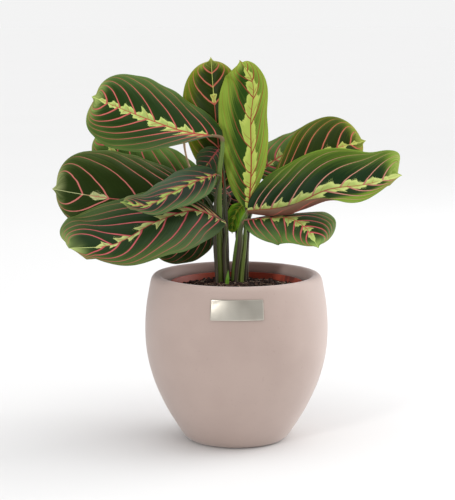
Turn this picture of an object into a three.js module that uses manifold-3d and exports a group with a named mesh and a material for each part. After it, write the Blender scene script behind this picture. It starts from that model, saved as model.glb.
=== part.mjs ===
// A prayer plant (maranta) in its nursery pot, standing inside a ceramic cachepot.
// Millimetres, +Z up. The origin is the middle of the cachepot's foot, on the surface it stands on.
// The photograph looks along +Y, so -Y is the front and +X is the right.
import * as THREE from "three";
import { mergeVertices } from "three/addons/utils/BufferGeometryUtils.js";
import Module from "manifold-3d";

// Driving dimensions
const CLEARANCE = 0.3; // between pieces that only rest in or beside each other

const POT_TOP = 149; // crown of the cachepot's rounded lip
const POT_FLOOR = 8; // inside floor of the cachepot
const POT_SIDES = 40;
const POT_OUTSIDE = [
  [0, 0],
  [39, 0],
  [43, 0.8],
  [46.5, 3.4],
  [54.8, 15.5],
  [64.8, 33],
  [74.2, 55],
  [79.8, 77],
  [81.5, 98],
  [80.4, 120],
  [77.8, 136],
  [75.6, 145.6],
  [73.4, 148.4],
];
const POT_INSIDE = [
  [71.4, POT_TOP],
  [68.2, 148.2],
  [65.7, 145.6],
  [64.8, 141],
  [68.4, 134],
  [72.6, 118],
  [73.6, 98],
  [72, 78],
  [66.6, 57],
  [57.6, 37],
  [48, 21],
  [42, 11],
  [37, POT_FLOOR],
  [0, POT_FLOOR],
];

const PLATE_WIDTH = 45.2; // label plate, measured round the pot
const PLATE_HEIGHT = 17.4;
const PLATE_THICKNESS = 0.8;
const PLATE_MIDDLE_Z = 130;
const PLATE_CORNER = 0.8;

const NURSERY_RIM_Z = 141; // top of the 12 cm nursery pot
const NURSERY_RIM_RADIUS = 60;
const NURSERY_FOOT_RADIUS = 36;
const NURSERY_WALL = 1.4;
const NURSERY_COLLAR = 9; // height of its upright collar
const COLLAR_STEP = 2.2; // how far the collar stands out from the wall under it
const NURSERY_SIDES = 36;
const DRAIN_HOLES = 5;
const DRAIN_RADIUS = 5;
const DRAIN_CIRCLE = 22;

const SOIL_EDGE_Z = 135.5; // soil at the nursery pot's wall
const SOIL_CROWN_Z = 140; // soil round the stems
const SOIL_SIDES = 36;
const STEM_FOOT_Z = 116; // how deep the stalks stand in the soil
const UPRIGHT_RUN = 3; // how far each stalk rises from the soil before it bends
const HOLE_SIDES = 10;

const BLADE_THICKNESS = 0.8;
const BLADE_ROWS = 13; // stations from base to tip
const BLADE_COLUMNS = 3; // strips on each side of the midrib
const TIP_LENGTH = 0.035; // share of the length taken by the drawn-out point
const POINT_WIDTH = 0.3; // half-width where that point starts, as a share of the widest
const POINT_REACH = 2.6; // how many tip lengths it starts from the end
const POINT_HOLLOW = 1.3; // above 1 its sides are hollow
const LEAST_HALF_WIDTH = 0.45;
const EVEN_OUT = 0.16; // share of the midrib over which its direction is averaged
const LOBE_FROM = 0.7; // where a half starts to turn into its tip's own sweep
const STALK_SIDES = 6;

// The stalk's run under the midrib: station, depth below it, and radius past the first station
const UNDER_BLADE = [
  { s: 0.015, drop: 0.9 },
  { s: 0.14, drop: 0.75, radius: 0.95 },
  { s: 0.34, drop: 0.6, radius: 0.7 },
  { s: 0.6, drop: 0.4, radius: 0.45 },
];
const STALK_TOP = 0.6; // radius under the blade's base, as a share of the stalk's girth

// Finishes
const finish = (color, roughness, metalness = 0) =>
  new THREE.MeshStandardMaterial({ color, roughness, metalness, side: THREE.FrontSide });
const glaze = finish(0xb8a79d, 0.75);
const brushedSteel = finish(0xcfc6ba, 0.35, 1);
const terracottaPlastic = finish(0xa6512f, 0.6);
const compost = finish(0x2a201b, 0.95);
const leafGreen = finish(0x3f6b34, 0.5);
const youngGreen = finish(0x8fb04a, 0.5);
const drySheath = finish(0x3b2a2e, 0.7);
const dryStalk = finish(0xb7936a, 0.7);

const wasm = await Module();
wasm.setup();

// Turns a closed BufferGeometry into a solid that can be joined and cut.
function toSolid(geometry) {
  const bare = new THREE.BufferGeometry();
  bare.setAttribute("position", geometry.getAttribute("position").clone());
  if (geometry.index) bare.setIndex(geometry.index.clone());
  const merged = mergeVertices(bare, 1e-4);
  return new wasm.Manifold(
    new wasm.Mesh({
      numProp: 3,
      vertProperties: new Float32Array(merged.attributes.position.array),
      triVerts: new Uint32Array(merged.index.array),
    }),
  );
}

// Turns a solid back into a BufferGeometry.
function toGeometry(solid) {
  const { vertProperties, triVerts, numProp } = solid.getMesh();
  const count = vertProperties.length / numProp;
  const positions = new Float32Array(count * 3);
  for (let i = 0; i < count; i++) {
    positions.set(vertProperties.subarray(i * numProp, i * numProp + 3), i * 3);
  }
  return new THREE.BufferGeometry()
    .setAttribute("position", new THREE.BufferAttribute(positions, 3))
    .setIndex(new THREE.BufferAttribute(new Uint32Array(triVerts), 1));
}

// A body of revolution round Z from [radius, height] points, listed upwards on the outside.
function turned(profile, sides) {
  const points = profile.map(([radius, height]) => new THREE.Vector2(radius, height));
  const geometry = new THREE.LatheGeometry(points, sides);
  geometry.rotateX(Math.PI / 2);
  return geometry;
}

// A plain upright cylinder from zLow to zHigh.
function post(x, y, zLow, zHigh, radius, sides = HOLE_SIDES) {
  return new THREE.CylinderGeometry(radius, radius, zHigh - zLow, sides)
    .rotateX(Math.PI / 2)
    .translate(x, y, (zLow + zHigh) / 2);
}

const vector = ([x, y, z]) => new THREE.Vector3(x, y, z);
const curveThrough = (points) => new THREE.CatmullRomCurve3(points, false, "centripetal");
const radians = THREE.MathUtils.degToRad;
const lerp = THREE.MathUtils.lerp;

// A closed body from rings of points: side faces between the rings and a fan on each end.
function loft(rings) {
  const sides = rings[0].length;
  const points = rings.flat();
  const first = points.length;
  points.push(middleOf(rings[0]), middleOf(rings[rings.length - 1]));
  const faces = [];
  for (let ring = 0; ring + 1 < rings.length; ring++) {
    for (let k = 0; k < sides; k++) {
      const a = ring * sides + k;
      const b = ring * sides + ((k + 1) % sides);
      faces.push(a, b, a + sides, b, b + sides, a + sides);
    }
  }
  const last = (rings.length - 1) * sides;
  for (let k = 0; k < sides; k++) {
    const next = (k + 1) % sides;
    faces.push(first, next, k);
    faces.push(first + 1, last + k, last + next);
  }
  return geometryOf(points, faces);
}

function middleOf(ring) {
  return ring.reduce((sum, p) => sum.add(p), new THREE.Vector3()).divideScalar(ring.length);
}

function geometryOf(points, faces) {
  return new THREE.BufferGeometry()
    .setFromPoints(points)
    .setIndex(faces);
}

// A thin closed sheet on a grid of points and their normals. Both faces are split along the
// same diagonals, so that they never cross where the sheet waves.
function sheet(grid, normals, thickness) {
  const rows = grid.length;
  const columns = grid[0].length;
  const half = thickness / 2;
  const upper = grid.map((row, i) => row.map((p, j) => p.clone().addScaledVector(normals[i][j], half)));
  const lower = grid.map((row, i) => row.map((p, j) => p.clone().addScaledVector(normals[i][j], -half)));
  const points = [...upper.flat(), ...lower.flat()];
  const under = rows * columns;
  const at = (i, j) => i * columns + j;
  const faces = [];
  for (let i = 0; i + 1 < rows; i++) {
    for (let j = 0; j + 1 < columns; j++) {
      const [a, b, c, d] = [at(i, j), at(i, j + 1), at(i + 1, j), at(i + 1, j + 1)];
      faces.push(a, b, d, a, d, c);
      faces.push(under + a, under + d, under + b, under + a, under + c, under + d);
    }
  }
  const wall = (p, q) => faces.push(q, p, under + p, q, under + p, under + q);
  for (let j = 0; j + 1 < columns; j++) {
    wall(at(0, j), at(0, j + 1));
    wall(at(rows - 1, j + 1), at(rows - 1, j));
  }
  for (let i = 0; i + 1 < rows; i++) {
    wall(at(i + 1, 0), at(i, 0));
    wall(at(i, columns - 1), at(i + 1, columns - 1));
  }
  return geometryOf(points, faces);
}

// Half-width of one side of a blade as a share of its widest, s from 0 at the base to 1 at the
// tip. The base may have a fullness of its own, which passes into the tip's on the way there.
function outline(s, { widest, fullness, baseFullness = fullness }) {
  const shift = Math.log(0.5) / Math.log(widest);
  const body = Math.min(s / (1 - TIP_LENGTH), 1) ** shift;
  const blended = lerp(baseFullness, fullness, THREE.MathUtils.smoothstep(s, 0, 0.9));
  const rounded = Math.max(4 * body * (1 - body), 0) ** blended;
  const point = POINT_WIDTH * Math.min((1 - s) / (POINT_REACH * TIP_LENGTH), 1) ** POINT_HOLLOW;
  return s > 0.8 ? Math.max(rounded, point) : rounded;
}

// Which way the midrib runs and the blade faces at a station. The way is taken over a short
// stretch, so that the stations don't bunch where the midrib bends.
function bladeFrame(leaf, curve, s) {
  const middle = curve.getPoint(s);
  const ahead = curve.getPoint(Math.min(s + EVEN_OUT, 1));
  const along = ahead.sub(curve.getPoint(Math.max(s - EVEN_OUT, 0))).normalize();
  const face = vector(leaf.face).normalize();
  face.lerp(vector(leaf.faceTip ?? leaf.face).normalize(), s);
  const left = face.clone().cross(along).normalize();
  const up = along.clone().cross(left);
  return { middle, along, left, up };
}

// One half of a blade's cross-section at station s: points from the midrib to the margin.
// The strip leaves the midrib at its fold angle, bends by its curl on the way out and leans
// forward by its sweep.
function halfSection(leaf, side, sign, frame, s) {
  const relaxed = THREE.MathUtils.smoothstep(s, 0.3, 0.8);
  const fold = lerp(side.fold, side.foldTip ?? side.fold, relaxed);
  const curl = lerp(side.curl, side.curlTip ?? side.curl, relaxed);
  const halfWidth = Math.max(side.width * outline(s, side), LEAST_HALF_WIDTH);
  const lobe = (Math.max(s - LOBE_FROM, 0) / (1 - LOBE_FROM)) ** 4;
  const sweep = lerp(side.sweep, side.sweepTip ?? side.sweep, lobe);
  const step = halfWidth / BLADE_COLUMNS;
  const points = [];
  let out = 0;
  let rise = 0;
  for (let k = 1; k <= BLADE_COLUMNS; k++) {
    const angle = radians(fold + (curl * (k - 0.5)) / BLADE_COLUMNS);
    out += step * Math.cos(angle);
    rise += step * Math.sin(angle);
    const q = k / BLADE_COLUMNS;
    const ripple = Math.sin(2 * Math.PI * leaf.waves * s);
    const wave = leaf.wave * q ** 2 * ripple * Math.sin(Math.PI * s);
    points.push(
      frame.middle
        .clone()
        .addScaledVector(frame.left, sign * out)
        .addScaledVector(frame.up, rise + wave)
        .addScaledVector(frame.along, sweep * halfWidth * q ** 2),
    );
  }
  return points;
}

// Normals of a grid of points, from its neighbours along and across.
function gridNormals(grid) {
  const pick = (list, i) => list[Math.max(0, Math.min(list.length - 1, i))];
  return grid.map((row, i) =>
    row.map((_, j) => {
      const along = pick(grid, i + 1)[j].clone().sub(pick(grid, i - 1)[j]);
      const across = pick(row, j + 1).clone().sub(pick(row, j - 1));
      return across.cross(along).normalize();
    }),
  );
}

function blade(leaf) {
  const curve = curveThrough(leaf.spine.map(vector));
  const grid = [];
  for (let i = 0; i < BLADE_ROWS; i++) {
    const s = lerp(0.006, 0.996, (1 - Math.cos((Math.PI * i) / (BLADE_ROWS - 1))) / 2);
    const frame = bladeFrame(leaf, curve, s);
    const right = halfSection(leaf, leaf.right, -1, frame, s);
    const left = halfSection(leaf, leaf.left, 1, frame, s);
    grid.push([...left.reverse(), frame.middle, ...right]);
  }
  return sheet(grid, gridNormals(grid), BLADE_THICKNESS);
}

// A round stalk along points, with a radius at each point.
function stalk(points, radii, rings, sides = STALK_SIDES) {
  const curve = curveThrough(points);
  const frames = curve.computeFrenetFrames(rings, false);
  const sections = [];
  for (let i = 0; i <= rings; i++) {
    const t = i / rings;
    const middle = curve.getPoint(t);
    const radius = lerpList(radii, t);
    const along = curve.getTangent(t);
    const side = frames.normals[i].clone().addScaledVector(along, -frames.normals[i].dot(along)).normalize();
    const other = along.clone().cross(side);
    const ring = [];
    for (let k = 0; k < sides; k++) {
      const turn = (2 * Math.PI * k) / sides;
      ring.push(
        middle
          .clone()
          .addScaledVector(side, radius * Math.cos(turn))
          .addScaledVector(other, radius * Math.sin(turn)),
      );
    }
    sections.push(ring);
  }
  return loft(sections);
}

function lerpList(values, t) {
  const x = t * (values.length - 1);
  const i = Math.min(Math.floor(x), values.length - 2);
  return lerp(values[i], values[i + 1], x - i);
}

// Each leaf stands on its own stalk (petiole), which thins out under the midrib.
function petiole(leaf) {
  const curve = curveThrough(leaf.spine.map(vector));
  const under = ({ s, drop }) => {
    const frame = bladeFrame(leaf, curve, s);
    return frame.middle.addScaledVector(frame.up, -drop);
  };
  const [x, y] = leaf.foot;
  const points = [
    new THREE.Vector3(x, y, STEM_FOOT_Z),
    new THREE.Vector3(x, y, SOIL_CROWN_Z + UPRIGHT_RUN),
    ...leaf.via.map(vector),
    ...UNDER_BLADE.map(under),
  ];
  const top = leaf.girth * STALK_TOP;
  const radii = points.map((_, i) => {
    if (i < 2) return leaf.girth;
    const left = points.length - UNDER_BLADE.length - i;
    if (left > 0) return lerp(top, leaf.girth * leaf.swell, left / leaf.via.length);
    return UNDER_BLADE[-left].radius ?? top;
  });
  return stalk(points, radii, points.length + 5);
}

const SIDE = { width: 28, widest: 0.5, fullness: 0.45, fold: 4, curl: -20, sweep: 0 };
const side = (values) => ({ ...SIDE, ...values });
const LEAF = { wave: 1.2, waves: 4, girth: 1.7, swell: 1, left: SIDE, right: SIDE };

// Blades are listed as seen from their base to their tip, upper face up: spine is the midrib,
// face the way the upper side looks (faceTip at the point), via the stalk's way from the soil,
// girth its radius there and swell how much it thickens above the soil.
const LEAVES = [
  {
    name: "leaf_upper_left",
    foot: [-15, 4],
    girth: 2.6,
    via: [[-15.5, 4, 190], [-15, 2, 240], [-12.5, -2.5, 262]],
    spine: [[-11.3, -6, 271], [-44, -14, 276], [-74, -22, 286.5], [-99, -30, 297], [-124, -38, 308]],
    face: [-0.1, -0.75, 0.65],
    faceTip: [-0.3, -0.85, 0.5],
    left: side({ width: 36.5, widest: 0.66, fullness: 0.4, baseFullness: 1.2, curl: -24, sweep: 0.3 }),
    right: side({ width: 42, widest: 0.46, fullness: 0.44, baseFullness: 0.5, sweep: 0.1 }),
  },
  {
    name: "leaf_left",
    foot: [-12, 9.8],
    via: [[-16, 9.5, 180], [-20.5, 9.5, 205], [-29, 11, 217.5]],
    spine: [[-36, 12, 222], [-68, 6, 216], [-98, 0, 215], [-133, -6, 220], [-162, -12, 226]],
    face: [0, -0.8, 0.6],
    faceTip: [-0.2, -0.9, 0.4],
    left: side({ width: 38, widest: 0.46, fullness: 0.5, curl: -24 }),
    right: side({ width: 48.5, widest: 0.48, fullness: 0.41, baseFullness: 0.57, curl: -14, sweep: 0.15 }),
  },
  {
    name: "leaf_small_front",
    foot: [-17.5, -1.5],
    girth: 1.5,
    via: [[-19.5, 0, 180], [-19.5, 0.3, 205], [-17, -3.5, 226], [-14.5, -6.5, 236]],
    spine: [[-17, -10, 239], [-37, -24, 233], [-56, -38, 225], [-77, -50, 216], [-99, -60, 220]],
    face: [-0.1, -0.75, 0.65],
    faceTip: [-0.4, -0.75, 0.6],
    wave: 0.8,
    left: side({ width: 19.5, widest: 0.38, fullness: 0.95, baseFullness: 1.3 }),
    right: side({ width: 19.5, widest: 0.3, fullness: 0.4, baseFullness: 0.65, curl: -14 }),
  },
  {
    name: "leaf_lower_left",
    foot: [-9.4, 3],
    girth: 2,
    swell: 1.3,
    via: [[-10.5, 3, 170], [-9, 0.5, 186]],
    spine: [[-9, -4, 195.5], [-36, -18, 207.5], [-69, -34, 200], [-106, -51, 182.3], [-143, -60, 180.3]],
    face: [0, -0.65, 0.75],
    faceTip: [-0.4, -0.75, 0.5],
    wave: 0.7,
    left: side({ width: 35.3, widest: 0.42, fullness: 1.05, baseFullness: 0.9, fold: -4, curl: -30 }),
    right: side({
      width: 52,
      widest: 0.66,
      fullness: 0.85,
      baseFullness: 0.62,
      fold: 0,
      curl: -14,
      sweep: 0.45,
      sweepTip: 2.3,
    }),
  },
  {
    name: "leaf_low_back_left",
    foot: [-16.8, 14.5],
    girth: 1.6,
    via: [[-18, 17, 172], [-18.5, 18.5, 184]],
    spine: [[-20, 19, 191], [-38, 26, 180], [-58, 34, 172], [-78, 42, 168]],
    face: [0, -0.93, 0.37],
    left: side({ width: 22.5, widest: 0.45 }),
    right: side({ width: 28, widest: 0.4, baseFullness: 0.25, curl: -14, sweep: -0.3 }),
  },
  {
    name: "leaf_top_left",
    foot: [-7.5, 14.3],
    via: [[-9.5, 16.5, 185], [-11, 16.5, 207]],
    spine: [[-11, 14.5, 223.7], [-16, 17, 262], [-20, 23, 302], [-23, 30, 340]],
    face: [-0.1, -0.95, 0.15],
    left: side({ width: 30, widest: 0.6 }),
    right: side({ width: 26.5, widest: 0.6 }),
  },
  {
    name: "leaf_top",
    foot: [-2.5, 10.5],
    girth: 2.1,
    via: [[-1, 9.5, 162], [1.5, 7.2, 181], [5.5, 5, 197]],
    spine: [[11, 4, 206], [13, 6, 243], [12.5, 4, 285], [14, -0.5, 318], [2.5, -6, 338]],
    face: [-0.2, -0.95, 0.1],
    left: side({ width: 30.2, fullness: 0.75, baseFullness: 0.4, curl: -16, sweep: 0.4 }),
    right: side({ width: 15.5, widest: 0.42, fullness: 0.36, baseFullness: 2.2, fold: -18, curl: -6 }),
  },
  {
    name: "leaf_back_left",
    foot: [-11.2, 18.5],
    via: [[-12, 22, 185], [-14, 24, 205], [-20, 25.5, 217]],
    spine: [[-30, 25, 222], [-64, 28, 229], [-98, 30, 244], [-128, 32, 273]],
    face: [0, -0.85, 0.5],
    left: side({ width: 28 }),
    right: side({ width: 34, curl: -14 }),
  },
  {
    name: "leaf_right_back",
    foot: [7.8, 8.5],
    girth: 1.5,
    via: [[10.2, 9.5, 180], [12.2, 11.5, 202]],
    spine: [[12, 12, 213], [43, 16, 234], [79, 24, 255], [117, 32, 265]],
    face: [0.1, -0.85, 0.5],
    left: side({ width: 34, widest: 0.75, fullness: 0.42, baseFullness: 1, curl: -18 }),
    right: side({ width: 30, curl: -14 }),
  },
  {
    name: "leaf_far_right",
    foot: [6.5, 17.5],
    girth: 1.6,
    via: [[9.5, 20, 185], [14, 24, 219]],
    spine: [[18, 25, 235], [36, 34, 248], [60, 47, 261], [92, 64, 284]],
    face: [0.2, -0.8, 0.6],
    left: side({ width: 19, widest: 0.32, curl: -18 }),
    right: side({ width: 24, curl: -14 }),
  },
  {
    name: "leaf_right",
    foot: [4.9, 4.8],
    girth: 1.6,
    via: [[8, 3, 180], [8, 0.5, 196]],
    spine: [[9, -2, 205], [46, -8, 210.2], [80, -17, 225.9], [111, -24, 231], [143, -30, 240]],
    face: [0, -0.85, 0.5],
    faceTip: [0.1, -0.8, 0.6],
    wave: 0.5,
    left: side({
      width: 38,
      widest: 0.3,
      fullness: 0.16,
      baseFullness: 0.7,
      fold: 22,
      foldTip: 0,
      curl: -14,
      sweep: 0.34,
    }),
    right: side({
      width: 23,
      widest: 0.44,
      fullness: 0.85,
      baseFullness: 0.6,
      fold: -30,
      curl: 190,
      foldTip: 0,
      curlTip: 0,
    }),
  },
  {
    name: "leaf_lower_right",
    foot: [0, 4.5],
    girth: 2.1,
    swell: 1.2,
    via: [[3.5, 2, 175], [4, -1, 189]],
    spine: [[6, -4, 197.2], [27, -7.5, 200], [47, -17, 200.5], [61, -28, 192.4], [71, -37, 177]],
    face: [0.1, -0.7, 0.7],
    faceTip: [0.5, -0.8, 0.2],
    wave: 0.6,
    left: side({ width: 40, widest: 0.58, fullness: 0.5, baseFullness: 0.9, fold: -45, foldTip: 0 }),
    right: side({ width: 27.5, widest: 0.52, fullness: 0.7, baseFullness: 0.4, fold: 0, sweep: 0.1 }),
  },
  {
    name: "leaf_young_hanging",
    foot: [3.6, 10.2],
    girth: 1.3,
    via: [[7, 11, 180], [8, 11.5, 200]],
    spine: [[5.5, 11.5, 209], [1, 11, 204], [-3, 11.5, 195], [-4, 12, 183]],
    face: [-0.3, -0.9, 0.4],
    wave: 0.4,
    left: side({ width: 8, fold: 10 }),
    right: side({ width: 8, fold: 10 }),
  },
  {
    name: "leaf_small_back",
    foot: [-7.4, 7.4],
    girth: 1.1,
    via: [[-8, 7.5, 180], [-9.5, 8, 215], [-12.5, 8.5, 248]],
    spine: [[-16, 9, 259], [-22, 9, 251], [-27, 10, 244], [-33, 11, 238]],
    face: [0, -0.97, 0.25],
    wave: 0.4,
    left: side({ width: 13 }),
    right: side({ width: 13 }),
  },
  {
    name: "leaf_rear_left",
    foot: [-12.5, 24],
    girth: 1.6,
    via: [[-12, 27, 185], [-9, 29, 203]],
    spine: [[-5, 31, 214], [-21, 62, 230], [-38, 97, 233], [-52, 130, 222]],
    face: [-0.1, -0.25, 1],
    left: side({ width: 29 }),
    right: side({ width: 29 }),
  },
  {
    name: "leaf_rear_right",
    foot: [9.5, 25],
    girth: 1.6,
    via: [[10.5, 27.5, 182], [12.5, 26, 197]],
    spine: [[16, 26, 206], [42, 58, 220], [72, 88, 219], [98, 112, 204]],
    face: [0.1, -0.1, 1],
    left: side({ width: 30 }),
    right: side({ width: 30 }),
  },
  {
    name: "leaf_rear_middle",
    foot: [1.5, 21],
    girth: 1.6,
    via: [[1, 25, 172], [0, 28.5, 188]],
    spine: [[0, 31, 199], [4, 62, 212], [10, 98, 208], [14, 130, 194]],
    face: [0, -0.1, 1],
    left: side({}),
    right: side({}),
  },
].map((leaf) => ({ ...LEAF, ...leaf }));

const plant = new THREE.Group();

function place(name, geometry, material) {
  const mesh = new THREE.Mesh(geometry, material);
  mesh.name = name;
  plant.add(mesh);
  return mesh;
}

// Cachepot and its label plate
place("cachepot", turned([...POT_OUTSIDE, ...POT_INSIDE], POT_SIDES), glaze);

// Radius of the pot's outer wall at a height, along the straight runs of its profile.
function potRadius(z) {
  const above = POT_OUTSIDE.findIndex(([, height]) => height >= z && height > 0);
  const [r0, z0] = POT_OUTSIDE[above - 1];
  const [r1, z1] = POT_OUTSIDE[above];
  return lerp(r0, r1, (z - z0) / (z1 - z0));
}

function labelPlate() {
  const columns = 10;
  const rows = 3;
  const grid = [];
  const normals = [];
  for (let i = 0; i <= rows; i++) {
    const z = PLATE_MIDDLE_Z + PLATE_HEIGHT * (i / rows - 0.5);
    const radius = potRadius(z) + CLEARANCE + PLATE_THICKNESS / 2;
    const corner = i === 0 || i === rows ? PLATE_CORNER : 0;
    const reach = (PLATE_WIDTH / 2 - corner) / potRadius(PLATE_MIDDLE_Z);
    const row = [];
    const outward = [];
    for (let j = 0; j <= columns; j++) {
      const turn = -Math.PI / 2 + reach * ((2 * j) / columns - 1);
      row.push(new THREE.Vector3(radius * Math.cos(turn), radius * Math.sin(turn), z));
      outward.push(new THREE.Vector3(Math.cos(turn), Math.sin(turn), 0));
    }
    grid.push(row);
    normals.push(outward);
  }
  return sheet(grid, normals, PLATE_THICKNESS);
}
place("label_plate", labelPlate(), brushedSteel);

// Nursery pot: straight flared wall, upright collar and a flat floor with drain holes
const nurseryFoot = POT_FLOOR;
const collarFoot = NURSERY_RIM_Z - NURSERY_COLLAR;
const bodyTopRadius = NURSERY_RIM_RADIUS - COLLAR_STEP;
const NURSERY_PROFILE = [
  [0, nurseryFoot],
  [NURSERY_FOOT_RADIUS, nurseryFoot],
  [bodyTopRadius, collarFoot],
  [NURSERY_RIM_RADIUS - 0.8, collarFoot],
  [NURSERY_RIM_RADIUS, NURSERY_RIM_Z - 1],
  [NURSERY_RIM_RADIUS - 0.6, NURSERY_RIM_Z],
  [NURSERY_RIM_RADIUS - NURSERY_WALL, NURSERY_RIM_Z],
  [bodyTopRadius - NURSERY_WALL, collarFoot - 1],
  [NURSERY_FOOT_RADIUS - NURSERY_WALL, nurseryFoot + NURSERY_WALL],
  [0, nurseryFoot + NURSERY_WALL],
];

function nurseryPot() {
  let solid = toSolid(turned(NURSERY_PROFILE, NURSERY_SIDES));
  for (let k = 0; k < DRAIN_HOLES; k++) {
    const turn = (2 * Math.PI * k) / DRAIN_HOLES;
    const hole = post(
      DRAIN_CIRCLE * Math.cos(turn),
      DRAIN_CIRCLE * Math.sin(turn),
      nurseryFoot - 1,
      nurseryFoot + NURSERY_WALL + 1,
      DRAIN_RADIUS,
    );
    solid = solid.subtract(toSolid(hole));
  }
  return toGeometry(solid);
}
place("nursery_pot", nurseryPot(), terracottaPlastic);

// Small pieces at the foot of the stems
const FLOWER_STALK = {
  foot: [-13.6, 14.6],
  girth: 0.9,
  points: [
    [-14.5, 14.8, 175],
    [-22, 11.6, 206.5],
    [-33, 16, 226],
    [-42, 22, 242],
    [-46, 26, 256],
    [-47.5, 27, 270],
    [-49, 27, 283],
  ],
};
const NEW_SHOOT = { foot: [-8.5, -3], girth: 1.9, height: 12 };

function flowerStalk() {
  const [x, y] = FLOWER_STALK.foot;
  const start = [[x, y, STEM_FOOT_Z], [x, y, SOIL_CROWN_Z + UPRIGHT_RUN]];
  const points = [...start, ...FLOWER_STALK.points].map(vector);
  const { girth } = FLOWER_STALK;
  const radii = [girth, girth, girth, girth, girth, girth, girth, 1.5, 0.5];
  return stalk(points, radii, points.length + 5, 5);
}

function newShoot() {
  const [x, y] = NEW_SHOOT.foot;
  const { girth, height } = NEW_SHOOT;
  const points = [
    new THREE.Vector3(x, y, STEM_FOOT_Z),
    new THREE.Vector3(x, y, SOIL_CROWN_Z - 2),
    new THREE.Vector3(x + 0.4, y, SOIL_CROWN_Z + height * 0.4),
    new THREE.Vector3(x + 1.2, y, SOIL_CROWN_Z + height),
  ];
  return stalk(points, [girth, girth, girth * 0.95, 0.3], 9);
}

// A dry sheath leaf that hugs the left side of the first stem.
const SHEATH = {
  leaf: "leaf_upper_left",
  from: 100, // degrees round its stem
  to: 205,
  top: 27, // height above the soil
  gap: 0.75,
  thickness: 0.8,
  taperFrom: 0.4, // share of its height where it starts to narrow
  leastSpread: 0.08,
  lean: 1.1, // how far its point stands off the stem
};

function stemSheath() {
  const leaf = LEAVES.find(({ name }) => name === SHEATH.leaf);
  const [x, y] = leaf.foot;
  const radius = leaf.girth + SHEATH.gap + SHEATH.thickness / 2;
  const rows = 8;
  const columns = 6;
  const grid = [];
  const normals = [];
  const low = SOIL_CROWN_Z + CLEARANCE;
  for (let i = 0; i <= rows; i++) {
    const t = i / rows;
    const narrowed = Math.max(t - SHEATH.taperFrom, 0) / (1 - SHEATH.taperFrom);
    const spread = Math.max(1 - narrowed ** 1.6, SHEATH.leastSpread);
    const row = [];
    const outward = [];
    for (let j = 0; j <= columns; j++) {
      const middle = (SHEATH.from + SHEATH.to) / 2;
      const turn = radians(lerp(middle, lerp(SHEATH.from, SHEATH.to, j / columns), spread));
      const reach = radius + SHEATH.lean * t ** 2;
      row.push(
        new THREE.Vector3(
          x + reach * Math.cos(turn),
          y + reach * Math.sin(turn),
          lerp(low, SOIL_CROWN_Z + SHEATH.top, t),
        ),
      );
      outward.push(new THREE.Vector3(Math.cos(turn), Math.sin(turn), 0));
    }
    grid.push(row);
    normals.push(outward);
  }
  return sheet(grid, normals, SHEATH.thickness);
}

// Soil: fills the nursery pot, mounded towards the stems, with a plain hole for each stalk
const soilFoot = nurseryFoot + NURSERY_WALL;
const innerFoot = NURSERY_FOOT_RADIUS - NURSERY_WALL - CLEARANCE;
const innerTop = bodyTopRadius - NURSERY_WALL - CLEARANCE;
const slopeAt = (z) => lerp(innerFoot, innerTop, (z - soilFoot) / (collarFoot - 1 - soilFoot));
const SOIL_PROFILE = [
  [0, soilFoot],
  [innerFoot, soilFoot],
  [slopeAt(collarFoot - 1), collarFoot - 1],
  [innerTop, SOIL_EDGE_Z],
  [46, SOIL_EDGE_Z + 0.6],
  [32, SOIL_CROWN_Z - 1.2],
  [16, SOIL_CROWN_Z],
  [0, SOIL_CROWN_Z],
];

function soil() {
  const stands = [
    ...LEAVES.map(({ foot, girth }) => ({ foot, radius: girth })),
    { foot: FLOWER_STALK.foot, radius: FLOWER_STALK.girth },
    { foot: NEW_SHOOT.foot, radius: NEW_SHOOT.girth },
  ];
  let solid = toSolid(turned(SOIL_PROFILE, SOIL_SIDES));
  for (const { foot, radius } of stands) {
    const hole = post(...foot, STEM_FOOT_Z - CLEARANCE, SOIL_CROWN_Z + 5, radius + 1.1 * CLEARANCE);
    solid = solid.subtract(toSolid(hole));
  }
  return solid;
}

place("potting_soil", toGeometry(soil()), compost);

// Leaves: blade and stalk grown together
const YOUNG_LEAVES = ["leaf_top", "leaf_young_hanging"];
for (const leaf of LEAVES) {
  const whole = toSolid(blade(leaf)).add(toSolid(petiole(leaf)));
  place(leaf.name, toGeometry(whole), YOUNG_LEAVES.includes(leaf.name) ? youngGreen : leafGreen);
}

place("stem_sheath", stemSheath(), drySheath);
place("flower_stalk", flowerStalk(), dryStalk);
place("new_shoot", newShoot(), youngGreen);

export default plant;
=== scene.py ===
"""A prayer plant (maranta) in its nursery pot, standing in a ceramic cachepot.

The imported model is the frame, and each of its nodes is replaced here by a finer piece of the same
form. Sizes are millimetres in the row's own frame, +Z up with the front at -Y, and every mesh is
scaled to metres when it is made. Each leaf is one surface s by q: s runs along the midrib from
base (0) to tip (1), and q runs across each half from the midrib (0) to the margin (1).
"""

from __future__ import annotations

import logging
from dataclasses import dataclass, field
from enum import Enum

import bpy
import numpy as np
from mathutils import Matrix

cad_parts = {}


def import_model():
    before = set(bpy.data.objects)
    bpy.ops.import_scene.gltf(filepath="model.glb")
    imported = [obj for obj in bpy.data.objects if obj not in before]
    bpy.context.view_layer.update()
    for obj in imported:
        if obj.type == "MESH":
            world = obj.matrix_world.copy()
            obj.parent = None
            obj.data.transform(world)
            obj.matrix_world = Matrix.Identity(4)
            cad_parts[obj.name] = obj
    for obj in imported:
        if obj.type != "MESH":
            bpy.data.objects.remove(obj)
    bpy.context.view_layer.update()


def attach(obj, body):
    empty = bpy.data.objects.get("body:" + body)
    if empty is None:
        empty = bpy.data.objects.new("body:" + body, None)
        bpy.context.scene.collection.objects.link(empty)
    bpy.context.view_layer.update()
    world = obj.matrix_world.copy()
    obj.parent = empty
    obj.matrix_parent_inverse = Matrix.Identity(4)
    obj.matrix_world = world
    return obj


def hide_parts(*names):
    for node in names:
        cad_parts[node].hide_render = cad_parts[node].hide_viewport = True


log = logging.getLogger("prayer_plant")

MM = 0.001
BODY = "root"

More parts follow.
